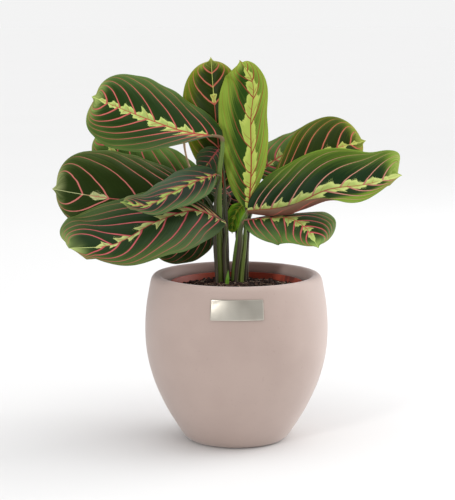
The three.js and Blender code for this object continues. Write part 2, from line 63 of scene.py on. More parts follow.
Point = tuple[float, float, float]
Colour = tuple[float, float, float]


# Numbers and curves


def unit(vectors: np.ndarray) -> np.ndarray:
    """Vectors at length 1."""
    return vectors / np.linalg.norm(vectors, axis=-1, keepdims=True)


def smoothstep(x: np.ndarray, low: float, high: float) -> np.ndarray:
    """An S-shaped ramp from 0 at low to 1 at high."""
    t = np.clip((x - low) / (high - low), 0, 1)
    return t * t * (3 - 2 * t)


def mix(a: np.ndarray, b: np.ndarray, t: np.ndarray) -> np.ndarray:
    """A straight blend from a (t is 0) to b (t is 1)."""
    return a + (b - a) * t


def linear(colour: Colour) -> tuple[float, float, float, float]:
    """A colour given in sRGB values of 0 to 255, as the linear RGBA that shaders take."""
    share = np.array(colour, float) / 255
    low = share / 12.92
    high = ((share + 0.055) / 1.055) ** 2.4
    return (*(float(c) for c in np.where(share <= 0.04045, low, high)), 1.0)


class Curve:
    """A centripetal Catmull-Rom curve through points.

    Each stretch between two points is a cubic whose end slopes come from the neighbouring points,
    weighted by the square roots of the distances between them. Past both ends the curve takes one
    more point, the mirror of its second point in the first.
    """

    def __init__(self, points: np.ndarray | list) -> None:
        """Keeps the points, with one mirrored point past each end."""
        inner = np.asarray(points, float)
        before = 2 * inner[0] - inner[1]
        after = 2 * inner[-1] - inner[-2]
        self.points = np.vstack([before, inner, after])
        self.stretches = len(inner) - 1

    def at(self, t: np.ndarray) -> np.ndarray:
        """Points of the curve.

        Args:
            t: Places from 0 at the first point to 1 at the last, an equal share to each stretch.

        Returns:
            One row of coordinates for each place.
        """
        along = np.clip(np.asarray(t, float), 0, 1) * self.stretches
        stretch = np.minimum(along.astype(int), self.stretches - 1)
        x = (along - stretch)[:, None]
        p0, p1, p2, p3 = (self.points[stretch + k] for k in range(4))
        d0, d1, d2 = (
            np.sqrt(np.linalg.norm(b - a, axis=1, keepdims=True)) for a, b in ((p0, p1), (p1, p2), (p2, p3))
        )
        slope1 = ((p1 - p0) / d0 - (p2 - p0) / (d0 + d1) + (p2 - p1) / d1) * d1
        slope2 = ((p2 - p1) / d1 - (p3 - p1) / (d1 + d2) + (p3 - p2) / d2) * d1
        cubic = 2 * p1 - 2 * p2 + slope1 + slope2
        square = -3 * p1 + 3 * p2 - 2 * slope1 - slope2
        return p1 + x * (slope1 + x * (square + x * cubic))

    def way(self, t: np.ndarray, step: float = 1e-4) -> np.ndarray:
        """Unit vectors along the curve, from the points a step after and a step before each place."""
        return unit(self.at(np.minimum(t + step, 1)) - self.at(np.maximum(t - step, 0)))


def lattice_noise(x: np.ndarray, y: np.ndarray, seed: int) -> np.ndarray:
    """Smooth noise of two coordinates.

    Random heights stand on a square lattice of pitch 1, and each point takes the S-shaped blend of
    the four heights round it.

    Args:
        x: First coordinates.
        y: Second coordinates, of the same shape.
        seed: Seed of the heights.

    Returns:
        Heights from -1 to 1, of the same shape.
    """
    side = 64
    heights = np.random.default_rng(seed).uniform(-1, 1, (side, side))
    column, row = np.floor(x).astype(int), np.floor(y).astype(int)
    u, v = smoothstep(x - column, 0, 1), smoothstep(y - row, 0, 1)
    near = mix(heights[row % side, column % side], heights[row % side, (column + 1) % side], u)
    far = mix(heights[(row + 1) % side, column % side], heights[(row + 1) % side, (column + 1) % side], u)
    return mix(near, far, v)


# Meshes


class MeshMaker:
    """Gathers points and faces as arrays and makes one object of them."""

    def __init__(self, *attributes: str) -> None:
        """Starts empty.

        Args:
            attributes: Names of the vectors that each face corner carries for the materials.
        """
        self.attributes = attributes
        self.points: list[np.ndarray] = []
        self.faces: list[tuple[np.ndarray, np.ndarray, int, bool]] = []

    @property
    def count(self) -> int:
        """How many points there are so far."""
        return sum(len(p) for p in self.points)

    def add_points(self, points: np.ndarray) -> np.ndarray:
        """Adds points and gives their numbers in the shape of the grid that they came in."""
        first = self.count
        flat = points.reshape(-1, 3)
        self.points.append(flat)
        return np.arange(first, first + len(flat)).reshape(points.shape[:-1])

    def add_faces(
        self, corners: np.ndarray, values: np.ndarray | None = None, material: int = 0, flat: bool = False
    ) -> None:
        """Adds faces.

        Args:
            corners: Point numbers, one row for each face.
            values: The attributes' vectors at each corner, shaped (face, corner, attribute, 3).
            material: Which of the object's materials the faces wear.
            flat: Whether they are shaded flat.
        """
        if values is None:
            values = np.zeros((*corners.shape, len(self.attributes), 3))
        self.faces.append((corners, values, material, flat))

    def add_grid(
        self,
        numbers: np.ndarray,
        values: np.ndarray | None = None,
        material: int = 0,
        turned_over: bool = False,
        flat: bool = False,
    ) -> None:
        """Adds the quads of a grid of points.

        Args:
            numbers: Point numbers, shaped (rows, columns).
            values: The attributes' vectors at each point, shaped (rows, columns, attribute, 3).
            material: Which of the object's materials the faces wear.
            turned_over: Whether the faces look the other way.
            flat: Whether they are shaded flat.
        """
        around = ((0, 0), (0, 1), (1, 1), (1, 0))
        if turned_over:
            around = around[::-1]
        rows, columns = numbers.shape
        cut = [(slice(i, rows - 1 + i), slice(j, columns - 1 + j)) for i, j in around]
        corners = np.stack([numbers[c] for c in cut], -1).reshape(-1, 4)
        if values is not None:
            values = np.stack([values[c] for c in cut], 2).reshape(len(corners), 4, len(self.attributes), 3)
        self.add_faces(corners, values, material, flat)

    def add_fan(self, middle: int, ring: np.ndarray, values: np.ndarray | None = None, material: int = 0) -> None:
        """Closes a ring with triangles round a middle point, wound in the ring's own order."""
        corners = np.stack([np.full(len(ring), middle), ring, np.roll(ring, -1)], -1)
        self.add_faces(corners, values, material)

    def make(self, name: str, materials: list[bpy.types.Material]) -> bpy.types.Object:
        """Makes the object, with its points turned from millimetres into metres.

        Args:
            name: The object's name.
            materials: Its materials, in the order of the faces' numbers.

        Returns:
            The object, in the scene's collection.
        """
        points = np.vstack(self.points) * MM
        sizes = np.concatenate([np.full(len(f[0]), f[0].shape[1]) for f in self.faces])
        corners = np.concatenate([f[0].ravel() for f in self.faces])
        mesh = bpy.data.meshes.new(name)
        mesh.vertices.add(len(points))
        mesh.vertices.foreach_set("co", points.astype(np.float32).ravel())
        mesh.loops.add(len(corners))
        mesh.loops.foreach_set("vertex_index", corners.astype(np.int32))
        mesh.polygons.add(len(sizes))
        mesh.polygons.foreach_set("loop_start", np.concatenate([[0], np.cumsum(sizes)[:-1]]).astype(np.int32))
        mesh.update(calc_edges=True)
        wearing = np.concatenate([np.full(len(f[0]), f[2]) for f in self.faces])
        smooth = np.concatenate([np.full(len(f[0]), not f[3]) for f in self.faces])
        mesh.polygons.foreach_set("material_index", wearing.astype(np.int32))
        mesh.polygons.foreach_set("use_smooth", smooth)
        for k, attribute in enumerate(self.attributes):
            vectors = np.concatenate([f[1][..., k, :].reshape(-1, 3) for f in self.faces])
            layer = mesh.attributes.new(attribute, "FLOAT_VECTOR", "CORNER")
            layer.data.foreach_set("vector", vectors.astype(np.float32).ravel())
        for material in materials:
            mesh.materials.append(material)
        piece = bpy.data.objects.new(name, mesh)
        bpy.context.scene.collection.objects.link(piece)
        return piece


def turned_body(profile: np.ndarray, sides: int, name: str, materials: list[bpy.types.Material]) -> bpy.types.Object:
    """A body of revolution: each profile point goes round Z, and both ends lie on the axis.

    Args:
        profile: Rows of radius and height, up the outside first and back down the inside.
        sides: How many steps go round.
        name: The object's name.
        materials: Its materials.

    Returns:
        The closed object.
    """
    maker = MeshMaker()
    angle = 2 * np.pi * np.arange(sides) / sides
    radius, height = profile[1:-1, 0, None], profile[1:-1, 1, None]
    rings = np.stack([radius * np.cos(angle), radius * np.sin(angle), height + 0 * angle], -1)
    numbers = maker.add_points(rings)
    closed = np.concatenate([numbers, numbers[:, :1]], 1)
    maker.add_grid(closed)
    ends = maker.add_points(np.array([[0, 0, profile[0, 1]], [0, 0, profile[-1, 1]]]))
    maker.add_fan(int(ends[0]), numbers[0][::-1])
    maker.add_fan(int(ends[1]), numbers[-1])
    return maker.make(name, materials)


def rounded_profile(points: list[tuple[float, float]], samples: int, lowest: float) -> np.ndarray:
    """A smooth profile through radius and height points, kept on its floor and off the axis's far side."""
    profile = Curve(points).at(np.linspace(0, 1, samples))
    profile[:, 0] = np.maximum(profile[:, 0], 0)
    profile[:, 1] = np.maximum(profile[:, 1], lowest)
    return profile


# Shader nodes


class Graph:
    """Adds nodes to one tree, so that a material reads as a list of named steps."""

    def __init__(self, tree: bpy.types.NodeTree) -> None:
        """Works in a tree that is already there."""
        self.tree = tree

    def feed(self, socket: bpy.types.NodeSocket, value: object) -> None:
        """Links a socket to another's value, or sets a plain number, vector or colour on it."""
        if isinstance(value, bpy.types.NodeSocket):
            self.tree.links.new(value, socket)
        elif value is not None:
            socket.default_value = value

    def node(self, kind: str, inputs: dict | None = None, **settings: object) -> bpy.types.Node:
        """A node with its settings, and with values or links on the named or numbered inputs."""
        made = self.tree.nodes.new(kind)
        for setting, value in settings.items():
            setattr(made, setting, value)
        for key, value in (inputs or {}).items():
            self.feed(made.inputs[key], value)
        return made

    def math(self, operation: str, *values: object, clamp: bool = False) -> bpy.types.NodeSocket:
        """The result of one Math node."""
        made = self.node("ShaderNodeMath", operation=operation, use_clamp=clamp)
        for socket, value in zip(made.inputs, values):
            self.feed(socket, value)
        return made.outputs[0]

    def ramp(self, value: object, low: object, high: object, start: float = 0, end: float = 1) -> bpy.types.NodeSocket:
        """An S-shaped ramp of a value, from start at low to end at high."""
        made = self.node("ShaderNodeMapRange", interpolation_type="SMOOTHSTEP")
        for socket, number in zip(made.inputs, (value, low, high, start, end)):
            self.feed(socket, number)
        return made.outputs[0]

    def blend(self, factor: object, a: object, b: object, how: str = "MIX") -> bpy.types.NodeSocket:
        """A colour mixed from a to b."""
        made = self.node("ShaderNodeMix", data_type="RGBA", blend_type=how, clamp_factor=True)
        for socket, value in zip((made.inputs[0], made.inputs[6], made.inputs[7]), (factor, a, b)):
            self.feed(socket, value)
        return made.outputs[2]

    def vector(self, x: object, y: object, z: object) -> bpy.types.NodeSocket:
        """A vector of three values."""
        return self.node("ShaderNodeCombineXYZ", {0: x, 1: y, 2: z}).outputs[0]

    def parts(self, name: str) -> list[bpy.types.NodeSocket]:
        """The three values of one of the mesh's own attributes."""
        read = self.node("ShaderNodeAttribute", attribute_name=name)
        return list(self.node("ShaderNodeSeparateXYZ", {0: read.outputs["Vector"]}).outputs)

    def place(self) -> bpy.types.NodeSocket:
        """The point's Object coordinates."""
        return self.node("ShaderNodeTexCoord").outputs["Object"]

    def stretched(self, vector: object, scale: Point) -> bpy.types.NodeSocket:
        """A vector with each of its axes scaled."""
        return self.node("ShaderNodeMapping", {"Vector": vector, "Scale": scale}).outputs[0]

    def noise(self, vector: object, scale: float, detail: float = 2, roughness: float = 0.5) -> bpy.types.NodeSocket:
        """Noise from 0 to 1."""
        inputs = {"Vector": vector, "Scale": scale, "Detail": detail, "Roughness": roughness}
        return self.node("ShaderNodeTexNoise", inputs).outputs[0]


class Group:
    """A shader node group under construction, with its own graph and named inputs and outputs."""

    def __init__(self, name: str, colours: dict[str, Colour], numbers: dict[str, float], outputs: list[str]) -> None:
        """Makes the group and its sockets.

        Args:
            name: The group's name.
            colours: Colour inputs with their usual values.
            numbers: Number inputs with their usual values.
            outputs: Output names; one that ends in "colour" is a colour, and the rest are numbers.
        """
        self.tree = bpy.data.node_groups.new(name, "ShaderNodeTree")
        for socket, colour in colours.items():
            made = self.tree.interface.new_socket(socket, in_out="INPUT", socket_type="NodeSocketColor")
            made.default_value = linear(colour)
        for socket, number in numbers.items():
            made = self.tree.interface.new_socket(socket, in_out="INPUT", socket_type="NodeSocketFloat")
            made.default_value = number
        for socket in outputs:
            kind = "NodeSocketColor" if socket.endswith("colour") else "NodeSocketFloat"
            self.tree.interface.new_socket(socket, in_out="OUTPUT", socket_type=kind)
        self.graph = Graph(self.tree)
        self.inputs = self.graph.node("NodeGroupInput").outputs
        self.outputs = self.graph.node("NodeGroupOutput").inputs

    def result(self, **values: bpy.types.NodeSocket) -> bpy.types.NodeTree:
        """Links the outputs, whose names are given in lower case, and gives the finished group."""
        for socket in self.outputs:
            if socket.name.replace(" ", "_") in values:
                self.graph.feed(socket, values[socket.name.replace(" ", "_")])
        return self.tree


class Material:
    """A material with one Principled BSDF, whose steps are added through its graph."""

    def __init__(self, name: str, roughness: float = 0.5, metallic: float = 0.0, specular: float = 0.5) -> None:
        """Makes the material with the values that are the same all over it."""
        self.data = bpy.data.materials.new(name)
        self.data.use_nodes = True
        self.graph = Graph(self.data.node_tree)
        self.shader = self.data.node_tree.nodes["Principled BSDF"]
        self.shader.inputs["Roughness"].default_value = roughness
        self.shader.inputs["Metallic"].default_value = metallic
        self.shader.inputs["Specular IOR Level"].default_value = specular

    def use(self, group: bpy.types.NodeTree, values: dict[str, object]) -> dict[str, bpy.types.NodeSocket]:
        """Places a group with its own values and gives its outputs by name."""
        made = self.graph.node("ShaderNodeGroup", node_tree=group)
        for name, value in values.items():
            self.graph.feed(made.inputs[name], value)
        return {socket.name: socket for socket in made.outputs}

    def bump(self, height: bpy.types.NodeSocket, distance: float, strength: float = 1.0) -> None:
        """Roughens the surface by a height from 0 to 1, as deep as the distance in millimetres."""
        inputs = {"Strength": strength, "Distance": distance * MM, "Height": height}
        made = self.graph.node("ShaderNodeBump", inputs)
        self.graph.feed(self.shader.inputs["Normal"], made.outputs[0])

    def wear(self, **values: bpy.types.NodeSocket) -> bpy.types.Material:
        """Feeds the shader's inputs, named in lower case with underscores, and gives the material."""
        for socket in self.shader.inputs:
            key = socket.name.lower().replace(" ", "_")
            if key in values:
                self.graph.feed(socket, values[key])
        return self.data


@dataclass(frozen=True)
class Palette:
    """Colours of one kind of leaf, in sRGB."""

    dark: Colour
    light: Colour
    feather: Colour
    vein: Colour
    midrib: Colour
    # Grey that lies over the green: partly waxy bloom, partly a painted sky reflection.
    bloom: Colour


class StemKind(Enum):
    """The kinds of stalk: colours at the foot, at the top and of its pale lines, which are partly painted highlights,
    in sRGB.
    """

    PURPLE = {"foot": (70, 54, 52), "top": (84, 100, 56), "stripe_and_highlight": (126, 144, 84)}
    GREEN = {"foot": (104, 122, 52), "top": (92, 122, 58), "stripe_and_highlight": (148, 170, 92)}
    BRIGHT = {"foot": (100, 122, 50), "top": (104, 140, 60), "stripe_and_highlight": (150, 178, 94)}


class LeafKind(Enum):
    """The kinds of leaf on the plant, by age and shade."""

    DEEP = Palette((28, 52, 10), (94, 122, 56), (206, 222, 128), (206, 116, 108), (168, 60, 52), (100, 112, 92))
    ROSE = Palette((24, 48, 14), (92, 116, 56), (208, 220, 138), (206, 104, 110), (172, 66, 66), (96, 112, 88))
    OLIVE = Palette((34, 50, 2), (118, 134, 28), (204, 212, 112), (200, 116, 92), (176, 84, 66), (104, 112, 64))
    LIME = Palette((40, 70, 12), (142, 168, 60), (196, 210, 104), (156, 72, 54), (150, 58, 46), (150, 166, 96))
    # Leaves that face up: their greens are tinted blue-grey as a painted sky reflection.
    BLUISH = Palette((32, 44, 30), (80, 106, 60), (168, 188, 92), (164, 88, 90), (152, 66, 62), (88, 106, 92))
    FRESH = Palette((30, 52, 14), (96, 128, 56), (190, 208, 116), (196, 100, 104), (176, 66, 60), (100, 126, 84))
    UMBER = Palette((36, 52, 14), (92, 112, 50), (214, 220, 156), (218, 132, 122), (206, 108, 100), (80, 88, 60))
    PALE_VEINED = Palette((18, 44, 14), (116, 146, 44), (212, 222, 136), (204, 152, 136), (160, 76, 60), (84, 112, 74))
    BUD = Palette((44, 82, 6), (112, 158, 30), (150, 180, 54), (130, 112, 36), (130, 130, 40), (110, 136, 66))


def blade_group() -> bpy.types.NodeTree:
    """The upper side of a blade: veins with painted shade at their edges, the toothed feather by the midrib, and
    streaked greens.

    It reads three vectors of the mesh. "veins" holds the vein count t, which is a whole number on
    each vein, q, and how fast t grows for each millimetre. "place" holds s, the distance from the
    midrib in millimetres and the half's own number. "paint" holds the feather's reach in
    millimetres, the lightness and the share of grey, each from 0 to 1; the grey is partly the
    leaf's bloom and partly a painted sky reflection.

    Returns:
        The group, with outputs for colour, height and gloss.
    """
    colours = {"dark": (20, 45, 18), "light": (90, 130, 60), "feather": (205, 225, 125), "vein": (210, 105, 98),
               "midrib": (190, 60, 60), "bloom": (112, 130, 118)}
    numbers = {"vein width": 1.15, "streaks": 0.5, "teeth": 2.4, "gap": 0.16, "front": 0.8, "pale from": 0.8}
    group = Group("Blade pattern", colours, numbers, ["colour", "height", "gloss"])
    g, given = group.graph, group.inputs
    t, q, growth = g.parts("veins")
    s, distance, number = g.parts("place")
    reach, lightness, bloom = g.parts("paint")

    # Veins: the distance to the nearest whole t, in millimetres, against a width that tapers outwards.
    wobble = g.noise(g.vector(g.math("MULTIPLY", q, 3.0), t, number), 1.3, 1)
    bent = g.math("ADD", t, g.math("MULTIPLY", g.math("SUBTRACT", wobble, 0.5), 0.14))
    nearest = g.math("ROUND", bent)
    off = g.math("DIVIDE", g.math("ABSOLUTE", g.math("SUBTRACT", bent, nearest)), growth)
    taper = g.ramp(q, 0.0, 1.0, 0.56, 0.2)
    half = g.math("MULTIPLY", given["vein width"], taper)
    vein = g.math("SUBTRACT", 1.0, g.ramp(g.math("DIVIDE", off, half), 0.7, 1.35))
    vein = g.math("MULTIPLY", vein, g.ramp(q, 0.86, 0.985, 1.0, 0.0))
    vein = g.math("MULTIPLY", vein, g.ramp(s, 0.9, 0.99, 1.0, 0.3))
    core = g.ramp(g.math("DIVIDE", off, half), 0.25, 0.95, 1.0, 0.0)

    # Midrib: thin, and thinner towards the tip.
    rib_half = g.ramp(s, 0.0, 1.0, 0.75, 0.22)
    rib = g.math("SUBTRACT", 1.0, g.ramp(g.math("DIVIDE", distance, rib_half), 0.6, 1.3))

    # Feather: a patch starts on each vein, rises to a peak and falls before the next, in pointed teeth.
    cell = g.math("FLOOR", bent)
    u = g.math("SUBTRACT", bent, cell)
    chance = g.node("ShaderNodeTexWhiteNoise", {0: g.vector(cell, number, 3.7)}, noise_dimensions="3D")
    draws = g.node("ShaderNodeSeparateXYZ", {0: chance.outputs["Color"]}).outputs
    peak = g.math("MULTIPLY_ADD", draws[0], 0.16, 0.26)
    front = g.math("MULTIPLY", given["front"], g.math("MULTIPLY_ADD", draws[1], 0.24, 0.88))
    body = g.math("MULTIPLY", g.ramp(u, 0.0, peak, 0.5, 1.0), g.ramp(u, peak, front, 1.0, 0.0))
    points = g.math("PINGPONG", g.math("MULTIPLY_ADD", u, given["teeth"], draws[2]), 0.5)
    points = g.math("POWER", g.math("MULTIPLY", points, 2.0), 1.3)
    body = g.math("MULTIPLY", body, g.math("MULTIPLY_ADD", points, 0.5, 0.5))
    width = g.math("MULTIPLY_ADD", body, g.math("SUBTRACT", 1.0, given["gap"]), given["gap"])
    width = g.math("MULTIPLY", width, g.math("MULTIPLY_ADD", draws[2], 0.4, 0.8))
    ragged = g.noise(g.vector(g.math("MULTIPLY", t, 7.0), number, 0.5), 1.0, 0)
    width = g.math("MULTIPLY", width, g.math("MULTIPLY_ADD", ragged, 0.5, 0.75))
    edge = g.math("SUBTRACT", g.math("MULTIPLY", width, reach), distance)
    feather = g.math("MULTIPLY", g.ramp(edge, -0.15, 0.2), g.ramp(reach, 0.05, 0.5))

    # Veinlets: a short thin vein stands in the middle of each patch.
    beside = g.math("DIVIDE", g.math("ABSOLUTE", g.math("SUBTRACT", u, peak)), growth)
    veinlet = g.math("MULTIPLY", g.ramp(beside, 0.1, 0.4, 1.0, 0.0), g.ramp(edge, 0.6, 2.6))

    # Greens: streaks run along the veins, and a lighter line follows each vein and the margin.
    streaks = g.noise(g.vector(g.math("MULTIPLY", t, 5.0), g.math("MULTIPLY", q, 1.1), number), 1.6, 5, 0.62)
    fine = g.noise(g.vector(g.math("MULTIPLY", t, 30.0), g.math("MULTIPLY", q, 3.0), number), 1.0, 3, 0.6)
    lift = g.math("MULTIPLY", g.math("SUBTRACT", streaks, 0.5), given["streaks"])
    lift = g.math("ADD", lift, g.math("MULTIPLY", g.math("SUBTRACT", fine, 0.5), 0.34))
    by_vein = g.math("MULTIPLY", g.ramp(off, 0.2, 2.6, 0.12, 0.0), g.ramp(q, 0.05, 0.6))
    by_edge = g.ramp(q, 0.955, 1.0, 0.0, 0.25)
    tone = g.math("ADD", g.math("ADD", lightness, lift), g.math("ADD", by_vein, by_edge), clamp=True)
    tone = g.ramp(tone, 0.0, 1.0)
    green = g.blend(tone, given["dark"], given["light"])
    # Grey over the green: partly the leaf's own bloom, partly a painted sky reflection.
    bloom_and_sheen_share = g.math("MULTIPLY", bloom, g.math("MULTIPLY_ADD", fine, 0.7, 0.5))
    green = g.blend(bloom_and_sheen_share, green, given["bloom"])
    pale = g.blend(g.math("MULTIPLY", fine, 0.3), given["feather"], given["light"])
    pale = g.blend(g.ramp(edge, 0.5, 3.5, 0.0, 0.4), pale, given["light"])
    by_tip = g.math("MULTIPLY", g.ramp(s, 0.88, 1.0), g.ramp(streaks, 0.4, 0.62, 0.15, 0.75))
    green = g.blend(by_tip, green, pale)
    painted = g.blend(feather, green, pale)
    painted = g.blend(g.math("MULTIPLY", veinlet, 0.7), painted, given["midrib"])
    # Veins take the midrib's darker red near the midrib, and at their edges as painted shade along their grooves; their
    # cores keep the vein colour.
    near_rib = g.ramp(distance, 0.5, 8.0, 0.45, 0.0)
    tint = g.blend(g.math("MAXIMUM", near_rib, g.math("SUBTRACT", 1.0, core)), given["vein"], given["midrib"])
    thin_out = g.ramp(q, 0.45, 0.95, 1.0, 0.6)
    painted = g.blend(g.math("MULTIPLY", vein, thin_out), painted, tint)
    pale_by = g.math("ADD", given["pale from"], 0.08)
    rib_tone = g.blend(g.ramp(s, given["pale from"], pale_by), given["midrib"], given["feather"])
    painted = g.blend(g.math("MULTIPLY", rib, 0.92), painted, rib_tone)

    height = g.math("ADD", g.math("MULTIPLY", fine, 0.5), g.math("MULTIPLY", vein, 0.5))
    gloss = g.math("ADD", g.math("MULTIPLY", streaks, 0.16), g.math("MULTIPLY_ADD", vein, 0.08, 0.34))
    return group.result(colour=painted, height=height, gloss=gloss)


def underside_group() -> bpy.types.NodeTree:
    """The underside of a blade: a mauve-brown skin with raised pale red veins.

    Returns:
        The group, with outputs for colour and height. It reads the same vectors as the upper side.
    """
    colours = {"skin": (112, 64, 56), "edge": (118, 92, 66), "vein": (176, 92, 78)}
    group = Group("Blade underside", colours, {}, ["colour", "height"])
    g, given = group.graph, group.inputs
    t, q, growth = g.parts("veins")
    s, distance, number = g.parts("place")
    off = g.math("DIVIDE", g.math("ABSOLUTE", g.math("SUBTRACT", t, g.math("ROUND", t))), growth)
    vein = g.math("MULTIPLY", g.ramp(off, 0.25, 0.7, 1.0, 0.0), g.ramp(q, 0.8, 0.98, 1.0, 0.0))
    rib = g.ramp(distance, 0.6, 1.5, 1.0, 0.0)
    fine = g.noise(g.vector(g.math("MULTIPLY", t, 22.0), g.math("MULTIPLY", q, 3.0), number), 1.0, 4, 0.6)
    cloud = g.noise(g.vector(s, q, number), 3.5, 3)
    edge = g.math("ADD", g.ramp(q, 0.5, 1.0), g.math("MULTIPLY", g.math("SUBTRACT", cloud, 0.5), 0.9), clamp=True)
    skin = g.blend(edge, given["skin"], given["edge"])
    skin = g.blend(g.math("MULTIPLY", fine, 0.5), skin, (0.12, 0.045, 0.05, 1))
    lines = g.math("MAXIMUM", g.math("MULTIPLY", vein, 0.8), rib)
    painted = g.blend(lines, skin, given["vein"])
    height = g.math("ADD", g.math("MULTIPLY", fine, 0.3), lines)
    return group.result(colour=painted, height=height)


def stalk_group() -> bpy.types.NodeTree:
    """The skin of a stalk: green with dark purple and pale lines along it, the pale ones partly painted highlights, and
    a mauve joint on top.

    It reads the vector "stem" of the mesh: height along the stalk from 0 to 1, the way round it
    from 0 to 1, and how much of the joint under the blade is there.

    Returns:
        The group, with outputs for colour and height.
    """
    colours = {"foot": (52, 46, 34), "top": (78, 104, 52), "stripe_and_highlight": (150, 170, 104), "joint": (124, 88, 74)}
    group = Group("Stalk skin", colours, {"seed": 0.0}, ["colour", "height"])
    g, given = group.graph, group.inputs
    along, around, joint = g.parts("stem")
    turn = g.math("MULTIPLY", around, 2 * np.pi)
    ring = (g.math("COSINE", turn), g.math("SINE", turn))
    lines = g.noise(g.vector(*ring, g.math("MULTIPLY_ADD", along, 0.5, given["seed"])), 1.7, 2, 0.5)
    fine = g.noise(g.vector(*ring, g.math("MULTIPLY_ADD", along, 1.4, given["seed"])), 8.0, 3, 0.6)
    cloud = g.noise(g.vector(*ring, g.math("MULTIPLY_ADD", along, 5.0, given["seed"])), 1.2, 2)
    up = g.ramp(g.math("ADD", along, g.math("MULTIPLY", g.math("SUBTRACT", cloud, 0.5), 0.5)), 0.12, 0.75)
    skin = g.blend(up, given["foot"], given["top"])
    # Pale lines along the stalk: partly its own streaks, partly painted highlights.
    skin = g.blend(g.ramp(lines, 0.5, 0.72, 0.0, 0.7), skin, given["stripe_and_highlight"])
    skin = g.blend(g.ramp(fine, 0.5, 0.8, 0.0, 0.35), skin, (0.03, 0.018, 0.02, 1))
    skin = g.blend(g.math("MULTIPLY", joint, 0.8), skin, given["joint"])
    return group.result(colour=skin, height=g.math("ADD", lines, g.math("MULTIPLY", fine, 0.5)))


def grain_group() -> bpy.types.NodeTree:
    """Fine grain and soft clouds on Object coordinates, for fired clay, plastic and soil.

    Returns:
        The group, with outputs for the fine grain, the clouds and small dark specks.
    """
    group = Group("Grain", {}, {"fineness": 1.0}, ["grain", "clouds", "specks"])
    g, given = group.graph, group.inputs
    fine = g.node("ShaderNodeVectorMath", {0: g.place(), 3: given["fineness"]}, operation="SCALE").outputs[0]
    grain = g.noise(fine, 900.0, 3, 0.6)
    clouds = g.noise(fine, 22.0, 3, 0.5)
    specks = g.ramp(g.noise(fine, 420.0, 1, 0.4), 0.7, 0.76)
    return group.result(grain=grain, clouds=clouds, specks=specks)


